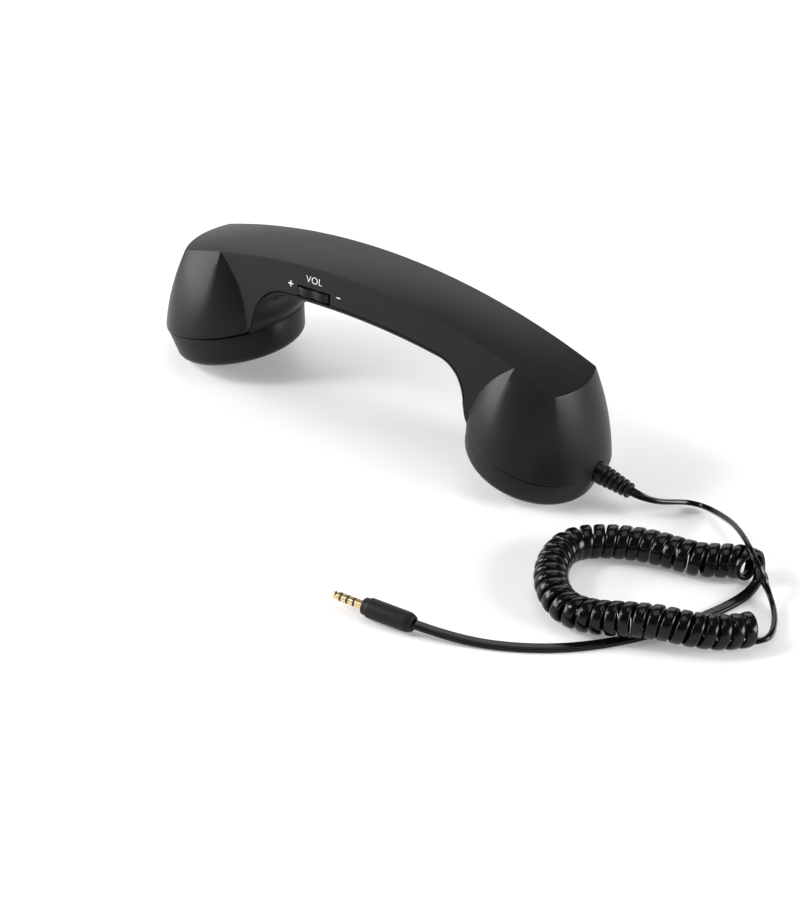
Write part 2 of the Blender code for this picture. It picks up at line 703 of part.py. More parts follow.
def call_heights():
    """Heights over the table: the button's flange, the switch's body, its board and the board's back."""
    flange = PART_Z - GRIP_BULGE + WALL + GAP
    flange_top = flange + FLANGE_THICK
    body = flange_top + BUTTON_TRAVEL + GAP + PLUNGER_LENGTH
    board = body + SWITCH_THICK + FINE_GAP
    return flange, body, board, board + BOARD_THICK


def build_call_button():
    flange, body, board, board_top = call_heights()
    low = PART_Z - GRIP_BULGE - BUTTON_PROUD
    button = add_object("call_button", prism(stadium(BUTTON_LENGTH, BUTTON_WIDTH), low, flange + FLANGE_THICK / 2),
                        SOFT_BLACK)
    wide = stadium(BUTTON_LENGTH + 2 * BUTTON_FLANGE, BUTTON_WIDTH + 2 * BUTTON_FLANGE)
    boolean(button, "UNION", prism(wide, flange, flange + FLANGE_THICK))
    smooth(button)
    build_switch("call_switch", Matrix.Translation((0, 0, body)))
    half_x, half_y = CALL_BOARD_LENGTH / 2, CALL_BOARD_WIDTH / 2
    add_object("call_board", box((-half_x, -half_y, board), (half_x, half_y, board_top)), BOARD_GREEN)


# Cap plates, receiver and microphone


def plate_heights():
    """The plate's outer rim, its inner face, in the cup's frame."""
    outer = -CAP_DEPTH + PLATE_SET_IN
    return outer, outer + PLATE_THICK


def build_plate(name, side, rings):
    outer, inner = plate_heights()
    frame = cup_frame(side)
    profile = [(0, inner), (PLATE_RADIUS, inner), (PLATE_RADIUS, outer)]
    profile += [(PLATE_RADIUS * r, outer + PLATE_DISH * (1 - r * r)) for r in (0.85, 0.6, 0.3)]
    plate = turned(name, profile + [(0, outer + PLATE_DISH)], SOFT_BLACK, frame, sides=32)
    holes = bmesh.new()
    for count, ring in rings:
        for i in range(count):
            angle = 2 * pi * (i + 0.25) / count
            spot = Matrix.Translation((ring * cos(angle), ring * sin(angle), (outer + inner) / 2))
            bmesh.ops.create_cone(holes, cap_ends=True, segments=6, radius1=HOLE_RADIUS, radius2=HOLE_RADIUS,
                                  depth=inner - outer + 0.002, matrix=spot)
    boolean(plate, "DIFFERENCE", mesh_of(holes), frame)
    smooth(plate)


def build_receiver():
    frame = cup_frame(-1)
    inner = plate_heights()[1]
    low = inner + GAP
    smooth(turned("receiver_gasket", ring_profile(RECEIVER_RADIUS - GASKET_WIDE, RECEIVER_RADIUS, low, low + GASKET_THICK),
                  FOAM, frame, closed=True))
    low += GASKET_THICK + GAP
    smooth(turned("receiver", disc_profile(RECEIVER_RADIUS, low, low + RECEIVER_THICK), GLOSS_BLACK, frame))
    low += RECEIVER_THICK + FINE_GAP
    smooth(turned("receiver_magnet", disc_profile(MAGNET_RADIUS, low, low + MAGNET_THICK), STEEL, frame))
    return low + MAGNET_THICK


def build_microphone():
    frame = cup_frame(1)
    low = plate_heights()[1] + GAP
    bore = CAPSULE_RADIUS + FINE_GAP
    high = low + BOOT_LENGTH
    floor = low + CAPSULE_LENGTH + FINE_GAP
    profile = [(0, high), (BOOT_RADIUS, high), (BOOT_RADIUS, low), (bore, low), (bore, floor), (0, floor)]
    smooth(turned("microphone_boot", profile, RUBBER, frame))
    smooth(turned("microphone", disc_profile(CAPSULE_RADIUS, low, low + CAPSULE_LENGTH), STEEL, frame))
    return high


# Screws


def build_screws():
    low = part_z(SCREW_X) - GRIP_BULGE + HEAD_SET_IN
    high = low + HEAD_THICK
    for name, side in (("screw_ear_end", -1), ("screw_mouth_end", 1)):
        profile = [(0, high + SCREW_LENGTH), (SCREW_RADIUS * 0.4, high + SCREW_LENGTH),
                   (SCREW_RADIUS, high + SCREW_LENGTH - 0.0012), (SCREW_RADIUS, high - GAP),
                   (HEAD_RADIUS, high - GAP), (HEAD_RADIUS, low), (0, low)]
        smooth(turned(name, profile, STEEL, Matrix.Translation((side * SCREW_X, 0, 0)), sides=20))


# Cord, strain relief and wiring


def spline_points(route, spacing):
    """Points on a smooth curve through the route's own points, evenly spaced."""
    points = np.array(route, float)
    ends = np.vstack([2 * points[0] - points[1], points, 2 * points[-1] - points[-2]])
    share = np.linspace(0, 1, 12, endpoint=False)[:, None]
    pieces = []
    for a, b, c, d in zip(ends, ends[1:], ends[2:], ends[3:]):
        pieces.append(0.5 * (2 * b + (c - a) * share + (2 * a - 5 * b + 4 * c - d) * share**2
                             + (3 * b - a - 3 * c + d) * share**3))
    fine = np.vstack(pieces + [points[-1:]])
    along = np.concatenate([[0], np.cumsum(np.linalg.norm(np.diff(fine, axis=0), axis=1))])
    count = max(2, round(along[-1] / spacing))
    wanted = np.linspace(0, along[-1], count + 1)
    return np.stack([np.interp(wanted, along, fine[:, k]) for k in range(3)], axis=1)


def tube(name, points, radius, look, resolution=2):
    curve = bpy.data.curves.new(name, "CURVE")
    curve.dimensions = "3D"
    curve.bevel_depth = radius
    curve.bevel_resolution = resolution
    curve.use_fill_caps = True
    spline = curve.splines.new("POLY")
    spline.points.add(len(points) - 1)
    for slot, point in zip(spline.points, points):
        slot.co = (*point, 1.0)
    curve.materials.append(look)
    made = bpy.data.objects.new(name, curve)
    PARTS.objects.link(made)


def relief_back():
    """How far in from the seam's edge the relief's inner flange reaches."""
    return WALL + CAP_LEDGE + FLANGE_IN + FLANGE_WIDE


def build_relief():
    low = -relief_back()
    pitch = (RELIEF_LENGTH - RELIEF_COLLAR) / RELIEF_RIBS
    profile = [(0, RELIEF_LENGTH)]
    for i in range(RELIEF_RIBS):
        for share, groove in ((0.0, 0), (0.60, 0), (0.68, 1), (0.92, 1)):
            height = RELIEF_LENGTH - pitch * (i + share)
            radius = RELIEF_TIP + (RELIEF_BASE - RELIEF_TIP) * (i + share) / RELIEF_RIBS
            profile.append((radius - RELIEF_GROOVE * groove, height))
    profile += [(RELIEF_BASE, RELIEF_COLLAR), (RELIEF_BASE, low + FLANGE_WIDE), (FLANGE_RADIUS, low + FLANGE_WIDE),
                (FLANGE_RADIUS, low), (0, low)]
    smooth(turned("strain_relief", profile, GLOSS_BLACK, relief_frame(), sides=16))


def curl_end(at, before, gap, height):
    """Where a thin cord meets an end face of the curl: at a height on the face, and a gap out from it."""
    face = Vector(CURL_ROUTE[at])
    outwards = (face - Vector(CURL_ROUTE[before])).normalized()
    seat = face + outwards * gap
    return (seat.x, seat.y, height)


def build_cord():
    relief = relief_frame()
    start = relief @ Vector((0, 0, RELIEF_LENGTH + GAP * 1.5))
    after = relief @ Vector((0, 0, RELIEF_LENGTH + 0.004))
    plug = plug_frame()
    end = plug @ Vector((0, 0, -CORD_SEAT))
    before = plug @ Vector((0, 0, -0.005))
    lead = (tuple(start), tuple(after)) + LEAD_ROUTE + (curl_end(0, 1, CORD_SEAT, 0.0018),)
    tail = (curl_end(-1, -2, CORD_RADIUS + GAP, 0.0100),) + TAIL_ROUTE + (tuple(before), tuple(end))
    tube("cord_lead", spline_points(lead, 0.0036), CORD_RADIUS, GLOSS_BLACK)
    tube("cord_curl", spline_points(CURL_ROUTE, 0.0070), CURL_RADIUS, GLOSS_BLACK, 3)
    tube("cord_tail", spline_points(tail, 0.0036), CORD_RADIUS, GLOSS_BLACK)


def plug_frame():
    """Origin at the back of the plug's neck, Z forwards along the jack, level with the table."""
    return Matrix.Translation(PLUG_BACK) @ Matrix.Rotation(PLUG_TURN, 4, "Z") @ Matrix.Rotation(pi / 2, 4, "Y")


def build_plug():
    frame = plug_frame()
    neck = PLUG_NECK
    front = neck + PLUG_LENGTH
    body = [(0, front + PLUG_COLLAR), (PLUG_RADIUS * 0.84, front + PLUG_COLLAR), (PLUG_RADIUS * 0.88, front),
            (PLUG_RADIUS * 0.96, front), (PLUG_RADIUS, front - 0.0010), (PLUG_RADIUS, neck),
            (PLUG_RADIUS * 0.94, neck * 0.6), (PLUG_RADIUS * 0.76, 0), (0, 0)]
    smooth(turned("plug_body", body, RUBBER, frame, sides=28))
    place = front + PLUG_COLLAR + FINE_GAP
    pieces = [("plug_sleeve", SLEEVE_LENGTH, GOLD)]
    for i in (1, 2):
        pieces += [(f"plug_band_{i}", BAND_LENGTH, GLOSS_BLACK), (f"plug_ring_{i}", RING_LENGTH, GOLD)]
    pieces.append(("plug_band_3", BAND_LENGTH, GLOSS_BLACK))
    for name, length, look in pieces:
        radius = JACK_RADIUS if "band" not in name else JACK_RADIUS - FINE_GAP / 2
        smooth(turned(name, disc_profile(radius, place, place + length), look, frame, sides=20))
        place += length + FINE_GAP
    tip = front + PLUG_COLLAR + JACK_LENGTH - place
    shape = [(0, tip), (0.0004, tip), (0.0011, tip - 0.0008), (0.0016, tip - 0.0017), (0.0011, tip - 0.0024),
             (0.0011, tip - 0.0027), (JACK_RADIUS, tip - 0.0031), (JACK_RADIUS, 0), (0, 0)]
    smooth(turned("plug_tip", shape, GOLD, frame @ Matrix.Translation((0, 0, place)), sides=20))


def build_wiring(receiver_back, microphone_back):
    """Three runs of wire inside: receiver to board, microphone to board, and board to the cord."""
    high = TOP_Z - WALL - WIRE_DROP
    ear = cup_frame(-1) @ Vector((0.0, 0.006, receiver_back + GAP + 0.0006))
    ear_up = cup_frame(-1) @ Vector((0.0, 0.006, receiver_back + 0.008))
    tube("receiver_wires", spline_points(
        (tuple(ear), tuple(ear_up), (0.0202 - CUP_X, 0.0085, high - 0.0105), (0.0322 - CUP_X, 0.0085, high - 0.0015),
         (-0.0260, 0.0080, high), (-0.0120, 0.0060, high - 0.0005)), 0.005), 0.0006, GLOSS_BLACK)
    mouth = cup_frame(1) @ Vector((-0.003, 0.003, microphone_back + GAP + 0.0006))
    mouth_up = cup_frame(1) @ Vector((-0.003, 0.003, microphone_back + 0.008))
    tube("microphone_wires", spline_points(
        (tuple(mouth), tuple(mouth_up), (CUP_X - 0.0182, -0.0040, high - 0.0125), (CUP_X - 0.0302, -0.0085, high - 0.0030),
         (0.0280, -0.0085, high), (0.0120, -0.0060, high - 0.0005)), 0.005), 0.0006, GLOSS_BLACK)
    inside = relief_frame() @ Vector((0, 0, -relief_back() - GAP))
    further = relief_frame() @ Vector((0, 0, -relief_back() - 0.005))
    tube("cord_wires", spline_points(
        (tuple(inside), tuple(further), (CUP_X + 0.0098, 0.0040, high - 0.0305), (CUP_X - 0.0062, 0.0070, high - 0.0165),
         (CUP_X - 0.0242, 0.0085, high - 0.0045), (0.0300, 0.0085, high), (0.0120, 0.0060, high - 0.0005)), 0.005),
        0.0008, GLOSS_BLACK)


build_back_shell()
build_front_shell()
build_rocker()
build_volume_board()
build_call_button()
build_plate("ear_plate", -1, EAR_RINGS)
build_plate("mouth_plate", 1, MOUTH_RINGS)
receiver_back = build_receiver()
microphone_back = build_microphone()
build_screws()
build_relief()
build_wiring(receiver_back, microphone_back)
build_cord()
build_plug()
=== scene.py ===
"""Looks of the telephone handset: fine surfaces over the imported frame, materials, light and camera.

Every length is in metres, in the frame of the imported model."""

from math import atan2, cos, hypot, pi, radians, sin, sqrt

import bmesh
import bpy
import numpy as np
from mathutils import Matrix, Vector


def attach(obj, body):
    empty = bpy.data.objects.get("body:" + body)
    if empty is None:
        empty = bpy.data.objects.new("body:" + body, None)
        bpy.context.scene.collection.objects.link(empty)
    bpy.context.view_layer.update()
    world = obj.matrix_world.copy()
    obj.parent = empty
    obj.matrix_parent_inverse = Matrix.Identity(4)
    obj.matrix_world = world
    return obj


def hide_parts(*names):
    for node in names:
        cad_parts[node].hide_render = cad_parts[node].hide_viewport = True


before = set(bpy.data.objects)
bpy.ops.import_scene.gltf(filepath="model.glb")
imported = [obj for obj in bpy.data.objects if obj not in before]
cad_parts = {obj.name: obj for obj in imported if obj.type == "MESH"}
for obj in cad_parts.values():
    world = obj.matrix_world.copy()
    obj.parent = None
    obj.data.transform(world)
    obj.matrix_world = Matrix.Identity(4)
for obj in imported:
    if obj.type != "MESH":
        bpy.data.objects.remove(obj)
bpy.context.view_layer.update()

# The handset's sizes

GAP = 0.0003
WALL = 0.0020
TOOL_REACH = 0.0040
SHELL_EDGE = 0.00045
TOP_Z = 0.0662
TOP_RADIUS = 0.262
TOP_CROWN = 0.0011
TOP_WIDTH = 0.0283
END_FLARE = 0.0005
FLARE_X = 0.0900
SIDE_DRAFT = 0.16
PART_Z = 0.0528
PART_RADIUS = 0.294
PART_FILLET = 0.0168
PART_X = 0.0524
GRIP_BULGE = 0.0044
STRIP_EDGE = 0.0006
STRIP_EDGE_INSIDE = 0.0004
STRIP_INSET = 0.0001
STRIP_TUCK = 0.0008
BUTTON_LENGTH = 0.0140
BUTTON_WIDTH = 0.0064
BUTTON_CUT = 0.0100
SCREW_X = 0.0340
SCREW_RADIUS = 0.0023
SCREW_DEPTH = 0.0022
CUP_X = 0.0762
CUP_RADIUS = 0.0298
CUP_TILT = radians(16.0)
CORNER_X = 0.0910
END_X = 0.0948
APEX_X = 0.0723
INNER_X = 0.0640
CUP_DRAFT = 0.3
CORNER_SPAN_TOP = 1.5
CORNER_SPAN_LOW = 15.0
SEAM_GROOVE = 0.0009
CAP_RADIUS = CUP_RADIUS - 0.0008
CAP_LOW_RADIUS = CAP_RADIUS - 0.0016
CAP_DEPTH = 0.0145
CAP_ROUND = 0.0045
CAP_STRAIGHT = CAP_DEPTH - CAP_ROUND
CAP_SHOULDER = 0.0030
EDGE_BREAK = 0.0003
EDGE_STEP = 0.0001
TONGUE_INSET = 0.0006
TONGUE_THICK = 0.0012
TONGUE_RISE = 0.0006
PLATE_RADIUS = 0.0197
PLATE_THICK = 0.0012
PLATE_SET_IN = 0.0004
PLATE_LIP = 0.0018
SEAM_Z = CAP_STRAIGHT * cos(CUP_TILT) + (CAP_LOW_RADIUS - CAP_ROUND) * sin(CUP_TILT) + CAP_ROUND
FILLET_X = PART_X - PART_FILLET
FILLET_ANGLE = atan2(FILLET_X, sqrt((PART_RADIUS - PART_FILLET) ** 2 - FILLET_X**2))
FILLET_Z = PART_Z - PART_RADIUS + (PART_RADIUS - PART_FILLET) * cos(FILLET_ANGLE)
ROCKER_X = -0.0236
ROCKER_LENGTH = 0.0152
ROCKER_HEIGHT = 0.0033
ROCKER_THICK = 0.0020
ROCKER_BUMP = 0.0009
ROCKER_PROUD = 0.0002
ROCKER_ROUND = 0.0004
SLOT_PLUS_END = 0.0003
SLOT_MINUS_END = 0.0008
SLOT_BELOW = 0.0060
SLOT_ABOVE = 0.0008
SLOT_OUT = 0.0040
SLOT_IN = 0.0060
PRINT_THICK = 0.00003
PRINT_OFF = 0.00002
RELIEF_ABOVE_SEAM = 0.0016
RELIEF_TILT = radians(10.0)
RELIEF_BASE = 0.0042
RELIEF_TIP = 0.0031
RELIEF_LENGTH = 0.0142
RELIEF_COLLAR = 0.0024
RELIEF_BACK = 0.0058
RELIEF_RIBS = 5
RELIEF_GROOVE = 0.0010
BORE_OUT = 0.0060
BORE_IN = 0.0080
PLUG_BACK = Vector((0.0987, -0.1139, 0.0042))
PLUG_TURN = radians(185.4)
PLUG_RADIUS = 0.0039
PLUG_LENGTH = 0.0163
PLUG_COLLAR = 0.0024
PLUG_NECK = 0.0026
CURL_RADIUS = 0.0066
CORD_WIDTH = 0.0041
CORD_THICK = 0.0021
CURL_WIDTH = 0.0044
CURL_THICK = 0.0023
CURL_START = 0.0040
CURL_STOP = 0.0002
CURL_PITCH = 0.0050
LEAD_STEP = 0.0012
TAIL_STEP = 0.0015
CORD_LIFT = 0.0001
WIDEN_RUN = 0.012
NARROW_RUN = 0.004

# The cord's route: the lead from the relief, the curly part's axis, and the tail to the plug

LEAD_ROUTE = (
    (0.1238, 0.0004, 0.0103), (0.1268, 0.0028, 0.0087), (0.1300, 0.0076, 0.0066), (0.1331, 0.0150, 0.0042),
    (0.1366, 0.0196, 0.0028), (0.1424, 0.0197, 0.0030), (0.1511, 0.0148, 0.0058), (0.1617, 0.0064, 0.0104),
    (0.1719, -0.0040, 0.0146), (0.1789, -0.0114, 0.0167), (0.1841, -0.0156, 0.0153), (0.1867, -0.0160, 0.0112),
    (0.1881, -0.0153, 0.0075), (0.1913, -0.0164, 0.0044), (0.1947, -0.0191, 0.0025), (0.1984, -0.0239, 0.0019),
    (0.2014, -0.0294, 0.0018), (0.2034, -0.0340, 0.0018), (0.2046, -0.0376, 0.0017), (0.2046, -0.0408, 0.0015),
    (0.2034, -0.0430, 0.0013), (0.2014, -0.0434, 0.0012),
)
CURL_ROUTE = (
    (0.2013, -0.0386, 0.0068), (0.1995, -0.0421, 0.0068), (0.1966, -0.0468, 0.0070), (0.1918, -0.0530, 0.0078),
    (0.1864, -0.0580, 0.0090), (0.1803, -0.0620, 0.0102), (0.1736, -0.0650, 0.0108),
    (0.1669, -0.0680, 0.0106), (0.1599, -0.0706, 0.0096), (0.1528, -0.0728, 0.0082), (0.1450, -0.0741, 0.0072),
    (0.1378, -0.0732, 0.0068), (0.1322, -0.0702, 0.0068), (0.1277, -0.0664, 0.0068), (0.1240, -0.0620, 0.0068),
    (0.1209, -0.0568, 0.0068), (0.1184, -0.0500, 0.0068), (0.1176, -0.0424, 0.0068), (0.1200, -0.0357, 0.0068),
    (0.1252, -0.0303, 0.0068), (0.1313, -0.0260, 0.0068), (0.1382, -0.0226, 0.0068), (0.1456, -0.0203, 0.0068),
    (0.1530, -0.0189, 0.0068), (0.1602, -0.0172, 0.0068), (0.1645, -0.0148, 0.0068), (0.1682, -0.0125, 0.0069),
    (0.1712, -0.0108, 0.0071), (0.1741, -0.0098, 0.0075), (0.1769, -0.0098, 0.0080), (0.1791, -0.0108, 0.0084),
)
TAIL_ROUTE = (
    (0.1789, -0.0050, 0.0129), (0.1789, -0.0031, 0.0099), (0.1794, -0.0026, 0.0066), (0.1806, -0.0040, 0.0037),
    (0.1822, -0.0068, 0.0020), (0.1832, -0.0113, 0.0013), (0.1835, -0.0167, 0.0012),
    (0.1830, -0.0215, 0.0012), (0.1820, -0.0268, 0.0012), (0.1808, -0.0318, 0.0012), (0.1791, -0.0369, 0.0012),
    (0.1771, -0.0424, 0.0012), (0.1743, -0.0490, 0.0012), (0.1706, -0.0565, 0.0012),
    (0.1665, -0.0640, 0.0012), (0.1622, -0.0710, 0.0012), (0.1573, -0.0780, 0.0012), (0.1520, -0.0842, 0.0012),
    (0.1472, -0.0890, 0.0012), (0.1416, -0.0937, 0.0012), (0.1357, -0.0979, 0.0012), (0.1295, -0.1017, 0.0013),
    (0.1229, -0.1052, 0.0015), (0.1155, -0.1083, 0.0020), (0.1090, -0.1108, 0.0029),
)
LOOP_CENTRE = (0.1788, -0.0090, 0.0075)


# Shader expressions


class Wire:
    """A shader's output socket, which takes +, -, * and / as Math nodes."""

    def __init__(self, tree, socket):
        self.tree = tree
        self.socket = socket

    def node(self, kind, settings=None, **values):
        """Adds a node: its settings first, then values or links, by socket name or number."""
        made = self.tree.nodes.new(kind)
        for key, value in (settings or {}).items():
            setattr(made, key, value)
        for key, value in values.items():
            slot = made.inputs[int(key[1:])] if key[0] == "_" else made.inputs[key.replace("_", " ")]
            if isinstance(value, Wire):
                self.tree.links.new(value.socket, slot)
            else:
                slot.default_value = value
        return made

    def out(self, kind, settings=None, output=0, **values):
        """Adds a node, and gives one of its outputs as a wire."""
        return Wire(self.tree, self.node(kind, settings, **values).outputs[output])

    def maths(self, operation, first, second):
        return self.out("ShaderNodeMath", {"operation": operation}, 0, _0=first, _1=second)

    def __add__(self, other):
        return self.maths("ADD", self, other)

    def __radd__(self, other):
        return self.maths("ADD", other, self)

    def __sub__(self, other):
        return self.maths("SUBTRACT", self, other)

    def __rsub__(self, other):
        return self.maths("SUBTRACT", other, self)

    def __mul__(self, other):
        return self.maths("MULTIPLY", self, other)

    def __rmul__(self, other):
        return self.maths("MULTIPLY", other, self)

    def __truediv__(self, other):
        return self.maths("DIVIDE", self, other)


def start_material(name, roughness=0.5, **constants):
    """A material with its Principled shader, and its Object coordinates as a wire."""
    made = bpy.data.materials.new(name)
    made.use_nodes = True
    tree = made.node_tree
    shader = tree.nodes["Principled BSDF"]
    shader.inputs["Roughness"].default_value = roughness
    for key, value in constants.items():
        shader.inputs[key.replace("_", " ")].default_value = value
    place = tree.nodes.new("ShaderNodeTexCoord").outputs["Object"]
    return made, shader, Wire(tree, place)


def feed(shader, wires):
    """Links each wire to the shader's input of that name."""
    tree = shader.id_data
    for name, wire in wires.items():
        tree.links.new(wire.socket, shader.inputs[name])


def noise(place, scale, detail=2.0, roughness=0.5):
    """Noise from 0 to 1, with a scale in spots per metre."""
    return place.out("ShaderNodeTexNoise", None, 0, Vector=place, Scale=scale, Detail=detail,
                     Roughness=roughness)


def blend_colours(place, share, dark, light):
    """Between two colours by a share from 0 to 1."""
    return place.out("ShaderNodeMix", {"data_type": "RGBA"}, 2, _0=share, _6=(*dark, 1.0), _7=(*light, 1.0))


def bumped(place, height, strength, distance):
    """The normal of a surface that a height wire raises by up to a distance."""
    return place.out("ShaderNodeBump", None, 0, Strength=strength, Distance=distance, Height=height)


def tinted(base, factor):
    """A colour times a factor, up to 1."""
    return tuple(min(1.0, c * factor) for c in base)


def soft_touch(name, base, roughness, grain_scale=5200.0, grain=0.10):
    """A matte surface, lacquered or moulded: a fine even grain, and faint patches in tone and sheen."""
    made, shader, place = start_material(name, Specular_IOR_Level=0.13)
    patches = noise(place, 55.0, 3.0)
    grains = noise(place, grain_scale, 2.0, 0.6)
    feed(shader, {
        "Base Color": blend_colours(place, patches, tinted(base, 0.90), tinted(base, 1.10)),
        "Roughness": roughness - 0.04 + 0.05 * patches + 0.03 * grains,
        "Normal": bumped(place, grains, grain, 0.00004),
    })
    return made


def glossy_sheath(name, base, roughness):
    """Extruded sheath of a cord: nearly smooth, with a slight waviness from the extruder."""
    made, shader, place = start_material(name, Specular_IOR_Level=0.22)
    waves = noise(place, 420.0, 2.0)
    fine = noise(place, 2600.0, 2.0)
    feed(shader, {
        "Base Color": blend_colours(place, waves, tinted(base, 0.85), tinted(base, 1.15)),
        "Roughness": roughness - 0.03 + 0.05 * waves + 0.03 * fine,
        "Normal": bumped(place, waves, 0.12, 0.00008),
    })
    return made


def plated(name, base, roughness):
    """Bare or plated metal, with a fine grain in its sheen."""
    made, shader, place = start_material(name, Metallic=1.0)
    grains = noise(place, 9000.0, 2.0)
    tone = noise(place, 700.0, 2.0)
    feed(shader, {
        "Base Color": blend_colours(place, tone, tinted(base, 0.92), base),
        "Roughness": roughness + 0.10 * grains,
        "Normal": bumped(place, grains, 0.06, 0.00002),
    })
    return made


def plain(name, base, roughness, scale=900.0, change=0.12, grain=0.10, **constants):
    """A moulded, cut or printed surface with a fine grain of its own."""
    made, shader, place = start_material(name, **constants)
    grains = noise(place, scale, 3.0)
    feed(shader, {
        "Base Color": blend_colours(place, grains, tinted(base, 1 - change), tinted(base, 1 + change)),
        "Roughness": roughness - 0.04 + 0.08 * grains,
        "Normal": bumped(place, grains, grain, 0.00004),
    })
    return made


SHELL = soft_touch("soft_touch_black", (0.0112, 0.0110, 0.0114), 0.36)
KEY = soft_touch("soft_touch_key", (0.0104, 0.0103, 0.0107), 0.33)
SHEATH = glossy_sheath("cord_sheath", (0.0030, 0.0030, 0.0032), 0.16)
RELIEF = glossy_sheath("relief_rubber", (0.0045, 0.0045, 0.0048), 0.34)
RUBBER = soft_touch("moulded_rubber", (0.0125, 0.0125, 0.0127), 0.42, 3800.0, 0.14)
METAL = plated("plated_contact", (0.86, 0.66, 0.36), 0.20)
STEEL = plated("plain_steel", (0.58, 0.58, 0.60), 0.30)
PRINT = plain("white_print", (0.80, 0.80, 0.79), 0.45, 4200.0, 0.03, 0.05)
GLOSS = plain("moulded_black", (0.016, 0.016, 0.017), 0.30, 1500.0)
FOAM = plain("open_foam", (0.085, 0.085, 0.085), 0.95, 2400.0, 0.35, 0.6)
BOARD = plain("lacquered_board", (0.020, 0.110, 0.050), 0.38, 700.0, 0.15, 0.05)


# Building blocks


def shade(mesh, angle):
    """Smooth shading, with a sharp edge where two faces meet at more than the angle."""
    mesh.shade_smooth()
    mesh.set_sharp_from_angle(angle=angle)


def mesh_object(name, parts, merge=0.00001, angle=radians(30)):
    """One object from grids and face lists: (points, faces) each, merged where they meet."""
    bm = bmesh.new()
    for points, faces in parts:
        verts = [bm.verts.new(point) for point in points]
        for face in faces:
            corners = [verts[i] for i in face]
            if len(set(corners)) > 2:
                bm.faces.new(corners)
    bmesh.ops.remove_doubles(bm, verts=bm.verts, dist=merge)
    bmesh.ops.dissolve_degenerate(bm, edges=bm.edges, dist=merge / 4)
    bmesh.ops.recalc_face_normals(bm, faces=bm.faces)
    mesh = bpy.data.meshes.new(name)
    bm.to_mesh(mesh)
    bm.free()
    shade(mesh, angle)
    made = bpy.data.objects.new(name, mesh)
    bpy.context.scene.collection.objects.link(made)
    return made


def grid(points, wrap_rows=False, wrap_columns=False):
    """The quads of a grid of points, (rows, columns, 3), which may close on itself either way."""
    rows, columns = points.shape[:2]
    index = np.arange(rows * columns).reshape(rows, columns)
    if wrap_rows:
        index = np.vstack([index, index[:1]])
    if wrap_columns:
        index = np.hstack([index, index[:, :1]])
    quads = np.stack([index[:-1, :-1], index[:-1, 1:], index[1:, 1:], index[1:, :-1]], axis=-1)
    return points.reshape(-1, 3).tolist(), quads.reshape(-1, 4).tolist()


def capped_tube(points):
    """A tube of quads through rings of points, (rings, sides, 3), with one face at each end."""
    verts, quads = grid(points, wrap_columns=True)
    sides = points.shape[1]
    return verts, quads + [list(range(sides))[::-1], [len(verts) - sides + i for i in range(sides)]]


def turned_grid(profile, matrix, sides, wrap=False):
    """A surface of revolution: each (radius, height) of the profile at every angle about the frame's Z."""
    profile = np.array(profile, float)
    angles = np.linspace(0, 2 * pi, sides, endpoint=False)
    points = np.stack([
        profile[:, None, 0] * np.cos(angles)[None, :],
        profile[:, None, 0] * np.sin(angles)[None, :],
        np.broadcast_to(profile[:, None, 1], (len(profile), sides)),
    ], axis=-1)
    return grid(moved(points, matrix), wrap_rows=wrap, wrap_columns=True)


def moved(points, matrix):
    """The points as a matrix carries them."""
    turn = np.array(matrix.to_3x3())
    return points @ turn.T + np.array(matrix.translation)


def rounded_profile(corners, radius, steps):
    """A polyline of (radius, height) whose inner corners are cut by short arcs of about that radius."""
    corners = [np.array(c, float) for c in corners]
    made = [corners[0]]
    for before, corner, after in zip(corners, corners[1:], corners[2:]):
        back = min(radius, np.linalg.norm(before - corner) / 2.1)
        ahead = min(radius, np.linalg.norm(after - corner) / 2.1)
        start = corner + (before - corner) / max(np.linalg.norm(before - corner), 1e-9) * back
        end = corner + (after - corner) / max(np.linalg.norm(after - corner), 1e-9) * ahead
        for i in range(steps + 1):
            t = i / steps
            made.append((1 - t) ** 2 * start + 2 * t * (1 - t) * corner + t * t * end)
    made.append(corners[-1])
    return made


def finished(piece):
    """The piece with its modifiers made part of its mesh."""
    bpy.context.view_layer.update()
    graph = bpy.context.evaluated_depsgraph_get()
    mesh = bpy.data.meshes.new_from_object(piece.evaluated_get(graph))
    piece.modifiers.clear()
    old = piece.data
    piece.data = mesh
    bpy.data.meshes.remove(old)


def cut(piece, part):
    """The piece less a closed tool, given as (points, faces)."""
    tool = mesh_object("tool", [part])
    modifier = piece.modifiers.new("cut", "BOOLEAN")
    modifier.operation = "DIFFERENCE"
    modifier.object = tool
    finished(piece)
    bpy.data.objects.remove(tool, do_unlink=True)


def box_part(low, high, matrix):
    """A box between two corners, as a matrix carries it."""
    corners = np.array([(x, y, z) for x in (low[0], high[0]) for y in (low[1], high[1])
                        for z in (low[2], high[2])])
    faces = [(0, 1, 3, 2), (4, 6, 7, 5), (0, 4, 5, 1), (2, 3, 7, 6), (0, 2, 6, 4), (1, 5, 7, 3)]
    return moved(corners, matrix).tolist(), faces


def paint(piece, look):
    """Gives a piece one material in place of its own."""
    piece.data.materials.clear()
    piece.data.materials.append(look)


def dress(piece, look, body, *nodes, slot):
    """Gives a piece its material and body, and the CAD nodes that it stands for. Its slot is not used."""
    paint(piece, look)
    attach(piece, body)
    if nodes:
        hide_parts(*nodes)


# Frames


def cup_frame(side):
    """At the middle of a cup's seam: Z along the cup's axis, away from its cap."""
    turn = Matrix.Rotation(CUP_TILT, 4, "Y")
    if side < 0:
        turn = Matrix.Rotation(pi, 4, "Z") @ turn
    return Matrix.Translation((side * CUP_X, 0, SEAM_Z)) @ turn


